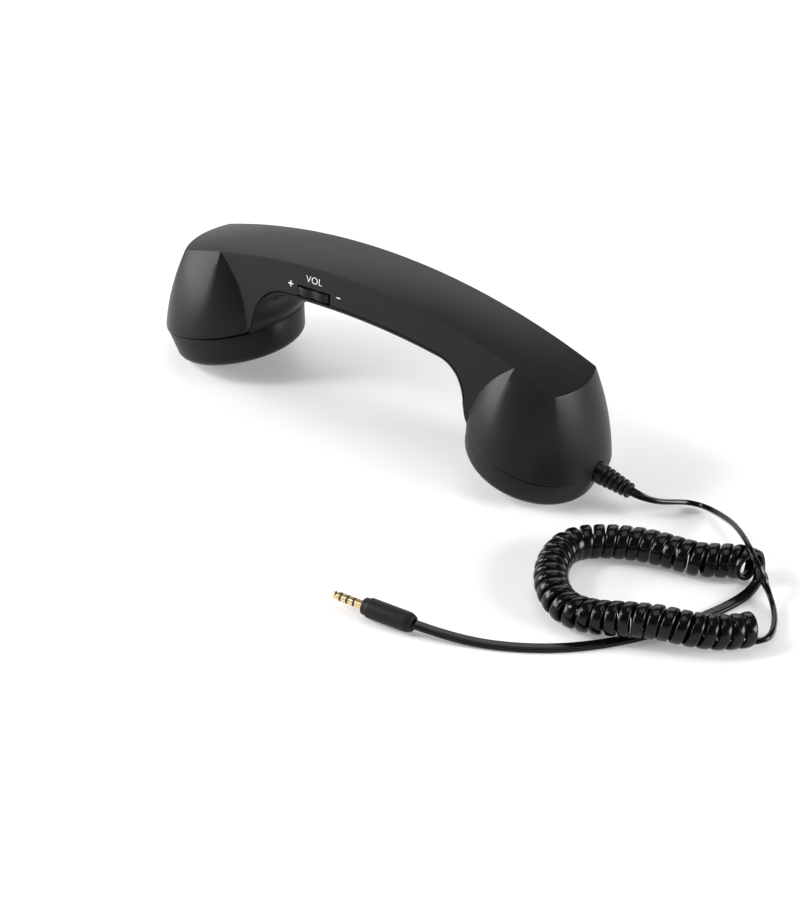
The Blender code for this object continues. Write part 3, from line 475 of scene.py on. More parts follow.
def relief_frame():
    """On the mouth cup's side: Z out along the strain relief."""
    seam = cup_frame(1) @ Vector((CUP_RADIUS, 0, RELIEF_ABOVE_SEAM))
    return Matrix.Translation(seam) @ Matrix.Rotation(pi / 2 + RELIEF_TILT, 4, "Y")


def plug_frame():
    """At the back of the plug's body: Z along the plug to its tip."""
    turn = Matrix.Rotation(PLUG_TURN, 4, "Z") @ Matrix.Rotation(pi / 2, 4, "Y")
    return Matrix.Translation(PLUG_BACK) @ turn


def rocker_frame():
    """On the side wall at the rocker's middle: X along the handle, Y inwards, Z up the wall."""
    slope = -ROCKER_X / PART_RADIUS
    along = Vector((cos(slope), 0, sin(slope)))
    up = Vector((0, SIDE_DRAFT, 1)).normalized()
    up = (up - along * up.dot(along)).normalized()
    inward = up.cross(along)
    middle_z = float(part_z(ROCKER_X)) + GAP * 1.5 + ROCKER_HEIGHT / 2
    origin = Vector((ROCKER_X, -float(wall_y(ROCKER_X, middle_z)), middle_z))
    return Matrix.Translation(origin) @ Matrix((along, inward, up)).transposed().to_4x4()


# The handle's and the cups' surfaces


def edge_z(x):
    """The top face's long edges: an arc of TOP_RADIUS with its top at TOP_Z."""
    return TOP_Z - TOP_RADIUS + np.sqrt(TOP_RADIUS**2 - np.square(x))


def top_half_width(x):
    """Half the top face's width, plus END_FLARE times (x / FLARE_X) squared."""
    return TOP_WIDTH / 2 + END_FLARE * np.square(x / FLARE_X)


def top_z(x, y):
    """The top face: its edge's height, plus TOP_CROWN times 1 - (y / half width) squared."""
    return edge_z(x) + TOP_CROWN * (1 - np.square(y / top_half_width(x)))


def wall_y(x, z):
    """The side wall: half the top's width, plus SIDE_DRAFT times the depth below the edge."""
    return top_half_width(x) + SIDE_DRAFT * (edge_z(x) - z)


def part_z(x):
    """The parting line under the handle: an arc of PART_RADIUS with its top at PART_Z."""
    return PART_Z - PART_RADIUS + np.sqrt(PART_RADIUS**2 - np.square(x))


CORNER_Y = float(top_half_width(CORNER_X))
APEX_Y = float(top_half_width(APEX_X))
CORNER_ANGLE = atan2(CORNER_Y, CORNER_X - CUP_X)
APEX_ANGLE = atan2(APEX_Y, APEX_X - CUP_X)


def cup_top(angle):
    """The square end's outline by angle: an arc across the end, a side, then an arc inside the handle."""
    across = np.clip(angle / CORNER_ANGLE, 0, 1)
    x = END_X - (END_X - CORNER_X) * across**2
    y = CORNER_Y * across
    along = np.clip((angle - CORNER_ANGLE) / (APEX_ANGLE - CORNER_ANGLE), 0, 1)
    x = np.where(angle > CORNER_ANGLE, CORNER_X + (APEX_X - CORNER_X) * along, x)
    y = np.where(angle > CORNER_ANGLE, top_half_width(x), y)
    inside = np.clip((pi - angle) / (pi - APEX_ANGLE), 0, 1)
    x = np.where(angle > APEX_ANGLE, INNER_X + (APEX_X - INNER_X) * inside**2, x)
    y = np.where(angle > APEX_ANGLE, APEX_Y * inside, y)
    return x, y


def cup_point(level, angle):
    """The cup's side at a level (0 at the seam, 1 at the top) and angle: a point that leaves the seam's
    circle for the top outline by the share 0.3 level + 0.7 level squared, and rises evenly. The square
    end's corner is softened: each point is a mean over a span of angles that widens towards the seam."""
    level, angle = np.broadcast_arrays(np.asarray(level, float), np.asarray(angle, float))
    span = np.radians(CORNER_SPAN_TOP + (CORNER_SPAN_LOW - CORNER_SPAN_TOP) * (1 - level)) * np.exp(
        -np.square((angle - CORNER_ANGLE) / np.radians(CORNER_SPAN_LOW * 1.2)))
    steps = np.linspace(-1, 1, 9)
    return sum(raw_cup_point(level, angle + span * step) for step in steps) / len(steps)


def raw_cup_point(level, angle):
    """The cup's side before its corner is softened."""
    share = CUP_DRAFT * level + (1 - CUP_DRAFT) * level**2
    seam_x = CUP_X + CUP_RADIUS * np.cos(angle) * cos(CUP_TILT)
    seam_y = CUP_RADIUS * np.sin(angle)
    seam_z = SEAM_Z - CUP_RADIUS * np.cos(angle) * sin(CUP_TILT)
    x_top, y_top = cup_top(angle)
    z_top = top_z(x_top, y_top)
    x = seam_x + (x_top - seam_x) * share
    y = seam_y + (y_top - seam_y) * share
    z = seam_z + (z_top - seam_z) * level
    return np.stack(np.broadcast_arrays(x, y, z), axis=-1)


def crease_angles(levels):
    """At each level, the angle where the cup's side passes through the handle's wall."""
    angles = np.linspace(APEX_ANGLE, pi * 0.98, 2400)
    points = cup_point(levels[:, None], angles[None, :])
    out = points[..., 1] - wall_y(points[..., 0], points[..., 2])
    found = []
    for row, level in zip(out, levels):
        inside = np.nonzero(row > 0)[0]
        last = inside[-1] if len(inside) else 0
        if level >= 1 or last == 0:
            found.append(APEX_ANGLE)
            continue
        share = row[last] / (row[last] - row[last + 1])
        found.append(angles[last] + share * (angles[last + 1] - angles[last]))
    return np.array(found)


LEVELS = np.concatenate([np.linspace(0, 0.9, 31), np.linspace(0.9, 1, 5)[1:]])
CREASE = crease_angles(LEVELS)
CREASE_POINTS = cup_point(LEVELS, CREASE)
CREASE_POINTS[:, 1] = wall_y(CREASE_POINTS[:, 0], CREASE_POINTS[:, 2])
TIP_X, TIP_Z = CREASE_POINTS[0, 0], CREASE_POINTS[0, 2]
ACROSS = np.sin(np.linspace(0, pi / 2, 17))
SIDE_SHARE = 1 - np.cos(np.linspace(0, pi / 2, 17))
SIDE_X = CORNER_X + (APEX_X - CORNER_X) * SIDE_SHARE
MIDDLE_X = np.linspace(0, APEX_X, 49)


def parting_line(share):
    """The parting line by share of its length, from the middle of the handle to the cup's tip: an arc,
    a fillet, and a slope to the tip. Gives x, z and the lean of its normal."""
    arc = PART_RADIUS * FILLET_ANGLE
    fillet = PART_FILLET * (pi / 2 - FILLET_ANGLE)
    slope = hypot(TIP_X - PART_X, FILLET_Z - TIP_Z)
    run = share * (arc + fillet + slope)
    lean = np.clip(run / PART_RADIUS, 0, FILLET_ANGLE)
    turned = FILLET_ANGLE + np.clip((run - arc) / PART_FILLET, 0, pi / 2 - FILLET_ANGLE)
    lean = np.where(run > arc, turned, lean)
    arc_z = PART_Z - PART_RADIUS + PART_RADIUS * np.cos(lean)
    x = np.where(run > arc, FILLET_X + PART_FILLET * np.sin(lean), PART_RADIUS * np.sin(lean))
    z = np.where(run > arc, FILLET_Z + PART_FILLET * np.cos(lean), arc_z)
    down = np.clip((run - arc - fillet) / slope, 0, 1)
    x = np.where(down > 0, PART_X + (TIP_X - PART_X) * down**2, x)
    z = np.where(down > 0, FILLET_Z + (TIP_Z - FILLET_Z) * down, z)
    lean = np.where(down > 0, pi / 2 + CUP_TILT * down, lean)
    return x, z, lean


def cup_side(end, hand):
    """Half of one cup's outside, from the end's middle round to the crease."""
    arc = ACROSS * CORNER_ANGLE
    side = CORNER_ANGLE + (APEX_ANGLE - CORNER_ANGLE) * SIDE_SHARE[1:]
    tail = np.linspace(0, 1, 15)[1:]
    fixed = np.concatenate([arc, side])
    angles = np.hstack([
        np.broadcast_to(fixed, (len(LEVELS), len(fixed))),
        APEX_ANGLE + (CREASE[:, None] - APEX_ANGLE) * tail[None, :],
    ])
    points = cup_point(LEVELS[:, None], angles)
    points[:, -1] = CREASE_POINTS
    return grid(points * np.array([end, hand, 1.0]))


def wall_side(end, hand):
    """A quarter of the handle's side walls, ruled between the parting line and the top edge with crease."""
    upper = np.vstack([np.stack([MIDDLE_X, edge_z(MIDDLE_X)], axis=1), CREASE_POINTS[::-1][1:][:, [0, 2]]])
    share = np.concatenate([np.linspace(0, 0.72, len(MIDDLE_X)), np.linspace(0.72, 1, len(LEVELS))[1:]])
    x, z, _ = parting_line(share)
    lower = np.stack([x, z], axis=1)
    rise = np.linspace(0, 1, 15)[:, None, None]
    flat = lower[None] * (1 - rise) + upper[None] * rise
    y = wall_y(flat[..., 0], flat[..., 1])
    points = np.stack([flat[..., 0], y, flat[..., 1]], axis=-1)
    return grid(points * np.array([end, hand, 1.0]))


def top_face(end):
    """Half of the arched top face: straight sections to the corners, then sections that bow to the end."""
    across = np.concatenate([-ACROSS[:0:-1], ACROSS])
    sections = [np.broadcast_to(x, across.shape) for x in np.concatenate([MIDDLE_X, SIDE_X[::-1][1:]])]
    bowed = END_X - (END_X - CORNER_X) * across**2
    for share in (0.25, 0.5, 0.75, 1.0):
        sections.append(CORNER_X + (bowed - CORNER_X) * share)
    x = np.stack(sections)
    half = top_half_width(np.minimum(x, CORNER_X))
    y = across[None, :] * half
    points = np.stack([x, y, top_z(x, y)], axis=-1)
    return grid(points * np.array([end, 1.0, 1.0]))


def cut_relief_bore(shell):
    """The hole for the strain relief, which both shells share, with a gap all round."""
    radius = RELIEF_BASE + GAP
    profile = [(0.0, BORE_OUT), (radius, BORE_OUT), (radius, -BORE_IN), (0.0, -BORE_IN)]
    cut(shell, turned_grid(profile, relief_frame(), 48))


def make_back_shell():
    """The outer half of the housing: one skin with a wall's thickness, cut for the rocker and the relief."""
    parts = [top_face(1), top_face(-1)]
    for end in (1, -1):
        for hand in (1, -1):
            parts += [cup_side(end, hand), wall_side(end, hand)]
    shell = mesh_object("shell_back", parts, merge=0.00002)
    thicken = shell.modifiers.new("thicken", "SOLIDIFY")
    thicken.thickness = WALL
    thicken.offset = -1
    soften = shell.modifiers.new("soften", "BEVEL")
    soften.width = SHELL_EDGE
    soften.segments = 3
    soften.limit_method = "ANGLE"
    soften.angle_limit = radians(24)
    finished(shell)
    low = (-ROCKER_LENGTH / 2 - SLOT_PLUS_END, -SLOT_OUT, -ROCKER_HEIGHT / 2 - SLOT_BELOW)
    high = (ROCKER_LENGTH / 2 + SLOT_MINUS_END, SLOT_IN, ROCKER_HEIGHT / 2 + SLOT_ABOVE)
    cut(shell, box_part(low, high, rocker_frame()))
    cut_relief_bore(shell)
    shade(shell.data, radians(35))
    dress(shell, SHELL, "housing", "back_shell", slot="soft_shell")


def cap_part(side):
    """One cap, turned about its axis: a tapered wall, a round rim, a flat ring and its plate's recess."""
    high, low = -SEAM_GROOVE, -CAP_DEPTH
    tongue = CUP_RADIUS - WALL - TONGUE_INSET
    turn = np.linspace(0, pi / 2, 13)
    rim_radius = CAP_LOW_RADIUS - CAP_ROUND * (1 - np.cos(turn))
    rim_height = -CAP_STRAIGHT - CAP_ROUND * np.sin(turn)
    recess = low + PLATE_SET_IN + PLATE_THICK + GAP
    top = recess + WALL
    outer = PLATE_RADIUS + GAP
    bore = outer - PLATE_LIP
    inner = CAP_LOW_RADIUS - WALL
    profile = [
        (CAP_RADIUS - EDGE_BREAK, high), (CAP_RADIUS - EDGE_STEP, high - EDGE_STEP),
        (CAP_RADIUS, high - EDGE_BREAK), *zip(rim_radius, rim_height),
        (outer + EDGE_BREAK, low), (outer + EDGE_STEP, low + EDGE_STEP), (outer, low + EDGE_BREAK),
        (outer, recess), (bore, recess), (bore, top), (inner - CAP_SHOULDER, top), (inner, top + CAP_SHOULDER),
        (tongue - TONGUE_THICK, high), (tongue - TONGUE_THICK, TONGUE_RISE), (tongue, TONGUE_RISE),
        (tongue, high),
    ]
    return turned_grid(profile, cup_frame(side), 128, wrap=True)


def strip_part(end):
    """Half of the grip's inner strip: sections across the parting line, each a rounded channel. Its depth
    is the bulge times the square root of 1 - v to the fourth, and turns into the cap's circle at the tip."""
    share = np.concatenate([np.linspace(0, 1, 72), [1.0]])
    x, z, lean = parting_line(share)
    last = len(share) - 1
    v = np.sin(np.linspace(-pi / 2, pi / 2, 41))
    chord = sqrt(CAP_RADIUS**2 - ((CUP_X - TIP_X) / cos(CUP_TILT)) ** 2)
    width = wall_y(x, z) - STRIP_INSET
    turn = np.clip((lean - pi / 4) / (pi / 4 + CUP_TILT), 0, 1) ** 1.5
    width = (width + (chord - width) * turn)[:, None]
    turn = turn[:, None]
    sag = CAP_RADIUS - np.sqrt(CAP_RADIUS**2 - width**2)
    bow = np.sqrt(1 - v**4)[None, :]
    flat = STRIP_EDGE + (GRIP_BULGE - STRIP_EDGE) * bow
    thin = STRIP_EDGE_INSIDE + (GRIP_BULGE - WALL - STRIP_EDGE_INSIDE) * bow
    round_out = np.sqrt(CAP_RADIUS**2 - (width * v) ** 2) - CAP_RADIUS + sag
    round_in = np.sqrt((CAP_RADIUS - WALL) ** 2 - ((width - WALL) * v) ** 2) - CAP_RADIUS + sag
    squeeze = np.zeros_like(width)
    squeeze[last] = STRIP_EDGE
    out = np.maximum(flat + (round_out - flat) * turn - squeeze, GAP)
    back = np.maximum(thin + (round_in - thin) * turn, GAP)
    drop = np.zeros(len(share))
    drop[last] = WALL + STRIP_TUCK
    x = x - drop * sin(CUP_TILT)
    z = z - drop * cos(CUP_TILT)
    across = np.hstack([width * v, ((width - WALL) * v)[:, ::-1]])
    depth = np.hstack([out, back[:, ::-1]])
    lean = lean[:, None]
    points = np.stack([x[:, None] - depth * np.sin(lean), across, z[:, None] - depth * np.cos(lean)], axis=-1)
    return grid(points * np.array([end, 1.0, 1.0]), wrap_columns=True)


def make_front_shell():
    """The inner half of the housing: both caps, and the strip between them with its cuts."""
    caps = mesh_object("shell_front_caps", [cap_part(1), cap_part(-1)], angle=radians(40))
    cut_relief_bore(caps)
    shade(caps.data, radians(40))
    strip = mesh_object("shell_front_strip", [strip_part(1), strip_part(-1)], angle=radians(40))
    low = PART_Z - GRIP_BULGE - TOOL_REACH
    cut(strip, stadium_prism(BUTTON_LENGTH + 2 * GAP, BUTTON_WIDTH + 2 * GAP, low, low + BUTTON_CUT))
    head = float(part_z(SCREW_X)) - GRIP_BULGE
    high, low = head + SCREW_DEPTH, head - TOOL_REACH
    profile = [(0.0, high), (SCREW_RADIUS, high), (SCREW_RADIUS, low), (0.0, low)]
    for side in (-1, 1):
        cut(strip, turned_grid(profile, Matrix.Translation((side * SCREW_X, 0, 0)), 40))
    shade(strip.data, radians(40))
    dress(caps, SHELL, "housing", "front_shell", slot="soft_shell")
    dress(strip, SHELL, "housing", slot="soft_shell")


def stadium_outline(length, width, steps=16):
    """A round-ended outline, with its length along X."""
    radius = width / 2
    reach = length / 2 - radius
    turns = np.linspace(-pi / 2, pi / 2, steps + 1)
    right = np.stack([reach + radius * np.cos(turns), radius * np.sin(turns)], axis=1)
    return np.vstack([right, -right])


def stadium_prism(length, width, low, high):
    """A round-ended block along X between two heights, closed by one face at each end."""
    outline = stadium_outline(length, width)
    count = len(outline)
    points = np.vstack([np.column_stack([outline, np.full(count, h)]) for h in (low, high)])
    faces = [(i, (i + 1) % count, count + (i + 1) % count, count + i) for i in range(count)]
    faces += [tuple(range(count))[::-1], tuple(range(count, 2 * count))]
    return points.tolist(), faces


# Cord


def run_length(points):
    """The length along a run of points, from its start to each of them."""
    return np.concatenate([[0], np.cumsum(np.linalg.norm(np.diff(points, axis=0), axis=1))])


def points_at(points, along, wanted):
    """The places at the lengths wanted, on a run of points with its lengths."""
    return np.stack([np.interp(wanted, along, points[:, k]) for k in range(3)], axis=1)


def smooth_route(route, spacing):
    """Evenly spaced points on a Catmull-Rom curve through the route's points."""
    points = np.array(route, float)
    ends = np.vstack([2 * points[0] - points[1], points, 2 * points[-1] - points[-2]])
    share = np.linspace(0, 1, 12, endpoint=False)[:, None]
    pieces = []
    for a, b, c, d in zip(ends, ends[1:], ends[2:], ends[3:]):
        pieces.append(0.5 * (2 * b + (c - a) * share + (2 * a - 5 * b + 4 * c - d) * share**2
                             + (3 * b - a - 3 * c + d) * share**3))
    fine = np.vstack(pieces + [points[-1:]])
    along = run_length(fine)
    wanted = np.linspace(0, along[-1], max(2, round(along[-1] / spacing)) + 1)
    return points_at(fine, along, wanted)


def eased(points, reach, rounds=3):
    """The points after rounds of a moving mean over reach of them on each side. Both ends stay in place."""
    for _ in range(rounds):
        before = 2 * points[0] - points[reach:0:-1]
        after = 2 * points[-1] - points[-2:-reach - 2:-1]
        sums = np.cumsum(np.vstack([np.zeros(3), before, points, after]), axis=0)
        points = (sums[2 * reach + 1:] - sums[:-2 * reach - 1]) / (2 * reach + 1)
    return points


def unit(rows):
    """Each row at length 1."""
    return rows / np.linalg.norm(rows, axis=-1, keepdims=True)


def squared(facing, ahead):
    """Unit rows: each facing less its share along its ahead."""
    return unit(facing - np.sum(facing * ahead, axis=1, keepdims=True) * ahead)


def powered(values, power):
    """A power of the size of each value, with its sign: the sides of a squarish oval."""
    return np.sign(values) * np.abs(values) ** power


def curl_points(per_turn=28):
    """A helix about the curl's axis: the radius is that of the cord's middle, with about a turn per pitch. It
    starts at the bottom of a turn, where the lead comes in, and ends at the top of one."""
    axis = smooth_route(CURL_ROUTE, 0.0010)
    along = run_length(axis)
    first, last = CURL_START, along[-1] - CURL_STOP
    turns = round((last - first) / CURL_PITCH) + 0.5
    share = np.linspace(0, 1, int(turns * per_turn) + 1)
    place = first + share * (last - first)
    middle = points_at(axis, along, place)
    ahead = unit(np.gradient(middle, axis=0))
    side = unit(np.cross(ahead, np.array([0.0, 0.0, 1.0])))
    up = np.cross(side, ahead)
    turn = 2 * pi * turns * share - pi / 2
    outwards = np.cos(turn)[:, None] * side + np.sin(turn)[:, None] * up
    return middle + (CURL_RADIUS - CURL_THICK / 2) * outwards, outwards


def joined(first, second, spacing=0.0007):
    """A smooth step from the end of one run to the start of the next, by a cubic with both directions."""
    a, b = first[-1], second[0]
    reach = np.linalg.norm(b - a)
    out, into = unit(first[-1] - first[-2]) * reach, unit(second[1] - second[0]) * reach
    t = np.linspace(0, 1, max(4, int(reach / spacing)))[1:-1, None]
    return ((2 * t**3 - 3 * t**2 + 1) * a + (t**3 - 2 * t**2 + t) * out
            + (3 * t**2 - 2 * t**3) * b + (t**3 - t**2) * into)


def lead_frames(path):
    """Which way the flat side faces along the lead: the cord rolls about its own run, from flat at the
    relief to nearly on edge, and over to flat again under the curl's first turn."""
    ahead = unit(np.gradient(path, axis=0))
    level = unit(np.cross(ahead, np.array([0.0, 0.0, 1.0])))
    upright = np.cross(level, ahead)
    left = np.cumsum(np.linalg.norm(np.diff(path, axis=0, append=path[-1:]), axis=1)[::-1])[::-1]
    whole = left[0]
    stations = [0, 0.006, 0.012, 0.030, 0.070, whole - 0.040, whole - 0.020, whole - 0.008, whole]
    roll = np.radians(np.interp(left, stations, [180, 125, 92, 68, 60, 40, 26, 10, 0]))
    roll = np.convolve(np.pad(roll, 4, mode="edge"), np.ones(9) / 9, mode="valid")
    broad = np.cos(roll)[:, None] * level + np.sin(roll)[:, None] * upright
    return np.cross(broad, ahead)


def tail_frames(path):
    """Which way the flat side faces along the tail: out from its loop's centre, then down to the table."""
    ahead = unit(np.gradient(path, axis=0))
    outwards = unit(path - np.array(LOOP_CENTRE))
    share = np.clip((run_length(path) - 0.020) / 0.012, 0, 1)[:, None]
    facing = outwards * (1 - share) + np.array([0.0, 0.0, -1.0]) * share
    return squared(facing, ahead)


def cord_run():
    """The cord's middle line from the relief to the plug, eased where its runs join, which way its flat
    side faces, and the numbers of the wound part's first and last points."""
    relief, plug = relief_frame(), plug_frame()
    start = tuple(tuple(relief @ Vector((0, 0, RELIEF_LENGTH + reach))) for reach in (-0.003, 0.0))
    end = tuple(tuple(plug @ Vector((0, 0, reach))) for reach in (-0.005, 0.001))
    curl, curl_faces = curl_points()
    lead = smooth_route(start + LEAD_ROUTE, LEAD_STEP)
    tail = smooth_route(TAIL_ROUTE + end, TAIL_STEP)
    lead = np.vstack([lead, joined(lead, curl)])
    tail = np.vstack([joined(curl, tail), tail])
    path = np.vstack([lead, curl, tail])
    inside = np.minimum(np.arange(len(path)) - len(lead), len(lead) + len(curl) - np.arange(len(path)))
    free = 1 - np.clip((inside - 2) / 8.0, 0, 1)[:, None]
    path = path + (eased(path, 3) - path) * free
    facing = np.vstack([lead_frames(lead), curl_faces, tail_frames(tail)])
    return path, facing, len(lead), len(lead) + len(curl) - 1


def make_cord():
    """The whole cord as one ribbon: a flat section, blunt at its edges and crowned on both faces, carried
    along the lead, the helix and the tail. It is a little wider and fuller where it is wound."""
    path, facing, first, last = cord_run()
    ahead = unit(np.gradient(path, axis=0))
    facing = squared(facing, ahead)
    broad = np.cross(ahead, facing)
    along = run_length(path)
    wound = np.minimum(along - along[first] + WIDEN_RUN, along[last] + NARROW_RUN - along)
    wound = np.clip(wound / WIDEN_RUN, 0, 1)
    wound = wound**2 * (3 - 2 * wound)
    half_width = (CORD_WIDTH + (CURL_WIDTH - CORD_WIDTH) * wound) / 2
    half_thick = (CORD_THICK + (CURL_THICK - CORD_THICK) * wound) / 2
    reach = half_width * np.abs(broad[:, 2]) + half_thick * np.abs(facing[:, 2])
    path[:, 2] = np.maximum(path[:, 2], reach + CORD_LIFT)
    angles = np.linspace(0, 2 * pi, 20, endpoint=False) + pi / 20
    across = half_width[:, None] * powered(np.cos(angles), 0.40 + 0.22 * wound[:, None])
    deep = half_thick[:, None] * powered(np.sin(angles), 0.45 + 0.40 * wound[:, None])
    points = path[:, None] + broad[:, None] * across[..., None] + facing[:, None] * deep[..., None]
    cord = mesh_object("cord", [capped_tube(points)], merge=0.000001, angle=radians(60))
    dress(cord, SHEATH, "housing", "cord_lead", "cord_curl", "cord_tail", slot="gloss_cord")


# Strain relief and plug


def make_relief():
    """The relief, turned: a plain collar, then ribs between deep grooves, narrowing to its end."""
    pitch = (RELIEF_LENGTH - RELIEF_COLLAR) / RELIEF_RIBS
    corners = [(0.0, RELIEF_LENGTH), (RELIEF_TIP, RELIEF_LENGTH)]
    for i in range(RELIEF_RIBS):
        for share, groove in ((0.56, 0.0), (0.62, RELIEF_GROOVE), (0.94, RELIEF_GROOVE), (1.0, 0.0)):
            height = RELIEF_LENGTH - pitch * (i + share)
            radius = RELIEF_TIP + (RELIEF_BASE - RELIEF_TIP) * (i + share) / RELIEF_RIBS
            corners.append((radius - groove, height))
    corners += [(RELIEF_BASE, 0.0), (RELIEF_BASE, -RELIEF_BACK), (0.0, -RELIEF_BACK)]
    profile = rounded_profile(corners, 0.00035, 4)
    relief = mesh_object("strain_relief_fine", [turned_grid(profile, relief_frame(), 64)], angle=radians(50))
    dress(relief, RELIEF, "housing", "strain_relief", slot="gloss_cord")


def make_plug():
    """The plug's moulded body, turned: a collar at the front, a long barrel and a wide chamfer behind."""
    front = PLUG_NECK + PLUG_LENGTH
    corners = [
        (0.0, front + PLUG_COLLAR), (PLUG_RADIUS * 0.84, front + PLUG_COLLAR), (PLUG_RADIUS * 0.88, front),
        (PLUG_RADIUS, front), (PLUG_RADIUS, PLUG_NECK), (PLUG_RADIUS * 0.94, PLUG_NECK * 0.6),
        (PLUG_RADIUS * 0.76, 0.0), (PLUG_RADIUS * 0.60, 0.0), (PLUG_RADIUS * 0.55, 0.0008), (0.0, 0.0008),
    ]
    profile = rounded_profile(corners, 0.0006, 5)
    body = mesh_object("plug_body_fine", [turned_grid(profile, plug_frame(), 72)], angle=radians(50))
    dress(body, RUBBER, "housing", "plug_body", slot="rubber")


# Printed marks


def strokes(*bars):
    """The mesh of a printed sign: flat bars (width, height) about one middle, in the plane of the print."""
    parts = []
    for width, height in bars:
        low, high = (-width / 2, -height / 2, 0.0), (width / 2, height / 2, PRINT_THICK)
        parts.append(box_part(low, high, Matrix.Identity(4)))
    made = mesh_object("sign", parts)
    mesh = made.data
    bpy.data.objects.remove(made, do_unlink=True)
    return mesh


def typed_word():
    """The mesh of the printed word."""
    text = bpy.data.curves.new("word", "FONT")
    text.body = "VOL"
    text.size = 0.0041
    text.align_x = "CENTER"
    text.extrude = PRINT_THICK / 2
    text.offset = -0.00006
    text.space_character = 1.05
    text.resolution_u = 6
    typed = bpy.data.objects.new("word", text)
    bpy.context.scene.collection.objects.link(typed)
    bpy.context.view_layer.update()
    word = bpy.data.meshes.new_from_object(typed.evaluated_get(bpy.context.evaluated_depsgraph_get()))
    bpy.data.objects.remove(typed, do_unlink=True)
    return word


def make_print():
    """The word and signs by the rocker, as thin prints that follow the side wall."""
    slope = -ROCKER_X / PART_RADIUS
    marks = (
        ("mark_vol", typed_word(), -0.0239, 0.0599),
        ("mark_more", strokes((0.0025, 0.00038), (0.00038, 0.0025)), -0.0351, 0.0550),
        ("mark_less", strokes((0.0019, 0.00042)), -0.0114, 0.0568),
    )
    for name, mesh, x, z in marks:
        flat = np.empty(len(mesh.vertices) * 3)
        mesh.vertices.foreach_get("co", flat)
        flat = flat.reshape(-1, 3)
        flat[:, :2] -= (flat[:, :2].max(axis=0) + flat[:, :2].min(axis=0)) / 2
        px = x + flat[:, 0] * cos(slope) - flat[:, 1] * sin(slope)
        pz = z + flat[:, 0] * sin(slope) + flat[:, 1] * cos(slope)
        py = -wall_y(px, pz) - PRINT_OFF - flat[:, 2]
        mesh.vertices.foreach_set("co", np.stack([px, py, pz], axis=1).ravel())
        mesh.update()
        made = bpy.data.objects.new(name, mesh)
        bpy.context.scene.collection.objects.link(made)
        dress(made, PRINT, "housing", slot="soft_shell")


# Rocker


def make_rocker():
    """The rocker: rounded sections along its length, whose front rises in two pads with a dip between."""
    half = ROCKER_LENGTH / 2
    along = np.sin(np.linspace(-pi / 2, pi / 2, 73)) * half
    ends = np.clip((half - np.abs(along)) / ROCKER_ROUND, 0, 1)
    shrink = np.sqrt(1 - (1 - ends) ** 2)
    front = -ROCKER_PROUD - ROCKER_BUMP * np.sin(pi * np.abs(along) / half) ** 2
    back = np.full_like(along, -ROCKER_PROUD + ROCKER_THICK)
    angles = np.linspace(0, 2 * pi, 40, endpoint=False)
    height = powered(np.sin(angles), 0.22)
    depth = powered(np.cos(angles), 0.22)
    middle, reach = (front + back) / 2, (back - front) / 2
    inset = (1 - shrink) * ROCKER_ROUND
    y = middle[:, None] + (reach - inset)[:, None] * depth[None, :]
    z = (ROCKER_HEIGHT / 2 - inset)[:, None] * height[None, :]
    x = np.broadcast_to(along[:, None], y.shape)
    points = moved(np.stack([x, y, z], axis=-1), rocker_frame())
    rocker = mesh_object("rocker_fine", [capped_tube(points)], merge=0.000001, angle=radians(50))
    dress(rocker, KEY, "rocker", "volume_rocker", slot="soft_key")


# CAD nodes that stay


def look_over(names, look):
    """Gives CAD nodes their finished material."""
    for name in names:
        paint(bpy.data.objects[name], look)


make_back_shell()
make_front_shell()
make_rocker()
make_relief()
make_plug()
make_print()
make_cord()
look_over(["plug_sleeve", "plug_ring_1", "plug_ring_2", "plug_tip"], METAL)
look_over(["plug_band_1", "plug_band_2", "plug_band_3", "receiver", "volume_up_switch", "volume_down_switch",
           "call_switch"], GLOSS)
look_over(["ear_plate", "mouth_plate"], SHELL)
look_over(["call_button"], KEY)
look_over(["rocker_pin", "receiver_magnet", "microphone", "screw_ear_end", "screw_mouth_end"], STEEL)
look_over(["receiver_gasket"], FOAM)
look_over(["microphone_boot"], RUBBER)
look_over(["volume_board", "call_board"], BOARD)
look_over(["receiver_wires", "microphone_wires", "cord_wires"], SHEATH)


# Floor, light and camera


def seen_rays(tree):
    """1 for the rays by which the camera, gloss and glass see a surface, 0 for those that light others."""
    rays = tree.nodes.new("ShaderNodeLightPath").outputs
    return sum(Wire(tree, rays[name]) for name in ("Is Camera Ray", "Is Glossy Ray", "Is Transmission Ray"))


def make_floor():
    """A pale floor that keeps its shadows, and is seen as white beyond 1.5 metres from its middle."""
    mesh = bpy.data.meshes.new("floor")
    mesh.from_pydata([(-6, -6, 0), (6, -6, 0), (6, 6, 0), (-6, 6, 0)], [], [(0, 1, 2, 3)])
    floor = bpy.data.objects.new("floor", mesh)
    bpy.context.scene.collection.objects.link(floor)
    look, shader, place = start_material("pale_floor", 0.75, Specular_IOR_Level=0.2, Emission_Strength=1.0)
    shader.inputs["Base Color"].default_value = (0.72, 0.72, 0.72, 1.0)
    away = place.out("ShaderNodeVectorMath", {"operation": "LENGTH"}, 1, _0=place)
    far = place.out("ShaderNodeClamp", None, 0, Value=away - 0.5)
    glow = (0.20 + 0.75 * far) * seen_rays(look.node_tree)
    feed(shader, {"Emission Color": blend_colours(place, glow, (0, 0, 0), (1, 1, 1))})
    mesh.materials.append(look)


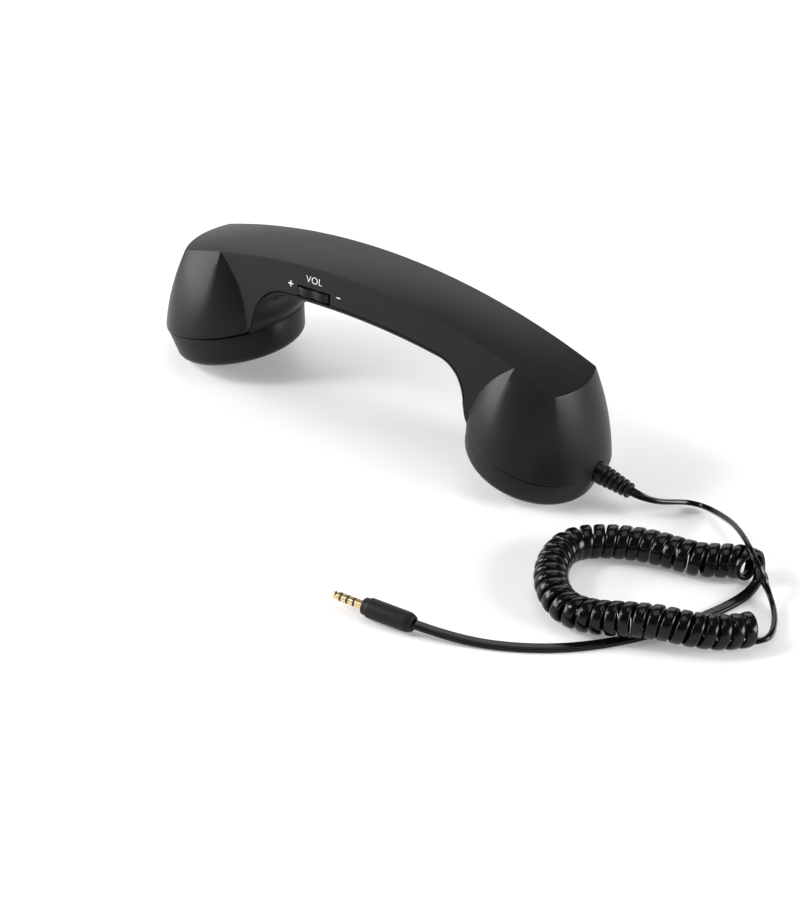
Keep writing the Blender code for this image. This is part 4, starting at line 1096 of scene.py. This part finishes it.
def make_world():
    """A world that lights little: seen as white below 10 degrees, and as dark from 17 degrees up."""
    world = bpy.data.worlds.new("world")
    bpy.context.scene.world = world
    world.use_nodes = True
    tree = world.node_tree
    towards = Wire(tree, tree.nodes.new("ShaderNodeTexCoord").outputs["Generated"])
    rise = towards.out("ShaderNodeSeparateXYZ", None, 2, Vector=towards)
    low = towards.out("ShaderNodeClamp", None, 0, Value=(0.30 - rise) / 0.12)
    sky = blend_colours(low, seen_rays(tree) * low, (0.06, 0.06, 0.06), (1.0, 1.0, 1.0))
    tree.links.new(sky.socket, tree.nodes["Background"].inputs["Color"])


def softbox(name, place, target, size, power):
    """An area light at a place, turned to its target."""
    light = bpy.data.lights.new(name, "AREA")
    light.shape = "RECTANGLE"
    light.size, light.size_y = size
    light.energy = power
    made = bpy.data.objects.new(name, light)
    made.location = place
    made.rotation_euler = (Vector(target) - Vector(place)).to_track_quat("-Z", "Y").to_euler()
    bpy.context.scene.collection.objects.link(made)


def make_camera():
    """A camera on the far end of a line from its aim, turned by three angles."""
    camera = bpy.data.cameras.new("camera")
    camera.sensor_fit = "VERTICAL"
    camera.sensor_height = 36.0
    focal_pixels, picture_pixels = 2977.38, 900.0
    camera.lens = focal_pixels * camera.sensor_height / picture_pixels
    camera.clip_start = 0.01
    camera.clip_end = 20.0
    azimuth, elevation, roll = radians(35.2), radians(33.1), radians(1.81)
    back = Vector((sin(azimuth) * cos(elevation), -cos(azimuth) * cos(elevation), sin(elevation)))
    right = Vector((cos(azimuth), sin(azimuth), 0))
    up = back.cross(right)
    across = right * cos(roll) + up * sin(roll)
    upright = back.cross(across)
    made = bpy.data.objects.new("camera", camera)
    aim, distance = Vector((0.00973, 0, -0.0143)), 1.21653
    place = aim + back * distance
    made.matrix_world = Matrix.Translation(place) @ Matrix((across, upright, back)).transposed().to_4x4()
    bpy.context.scene.collection.objects.link(made)
    bpy.context.scene.camera = made


make_floor()
make_world()
softbox("left_box", (-1.03, -0.56, 0.36), (-0.02, 0.0, 0.03), (1.25, 0.55), 25.0)
softbox("right_box", (1.17, 0.28, 0.40), (0.05, 0.0, 0.03), (0.65, 0.55), 19.0)
softbox("front_box", (-0.72, -0.78, 1.02), (0.0, 0.0, 0.04), (0.30, 0.30), 9.0)
softbox("top_box", (0.10, 0.10, 1.5), (0.02, 0.0, 0.0), (0.9, 0.8), 5.0)
softbox("back_box", (-0.72, 1.03, 0.86), (0.0, 0.0, 0.04), (1.2, 0.8), 6.5)
make_camera()
bpy.context.scene.view_settings.view_transform = "Standard"
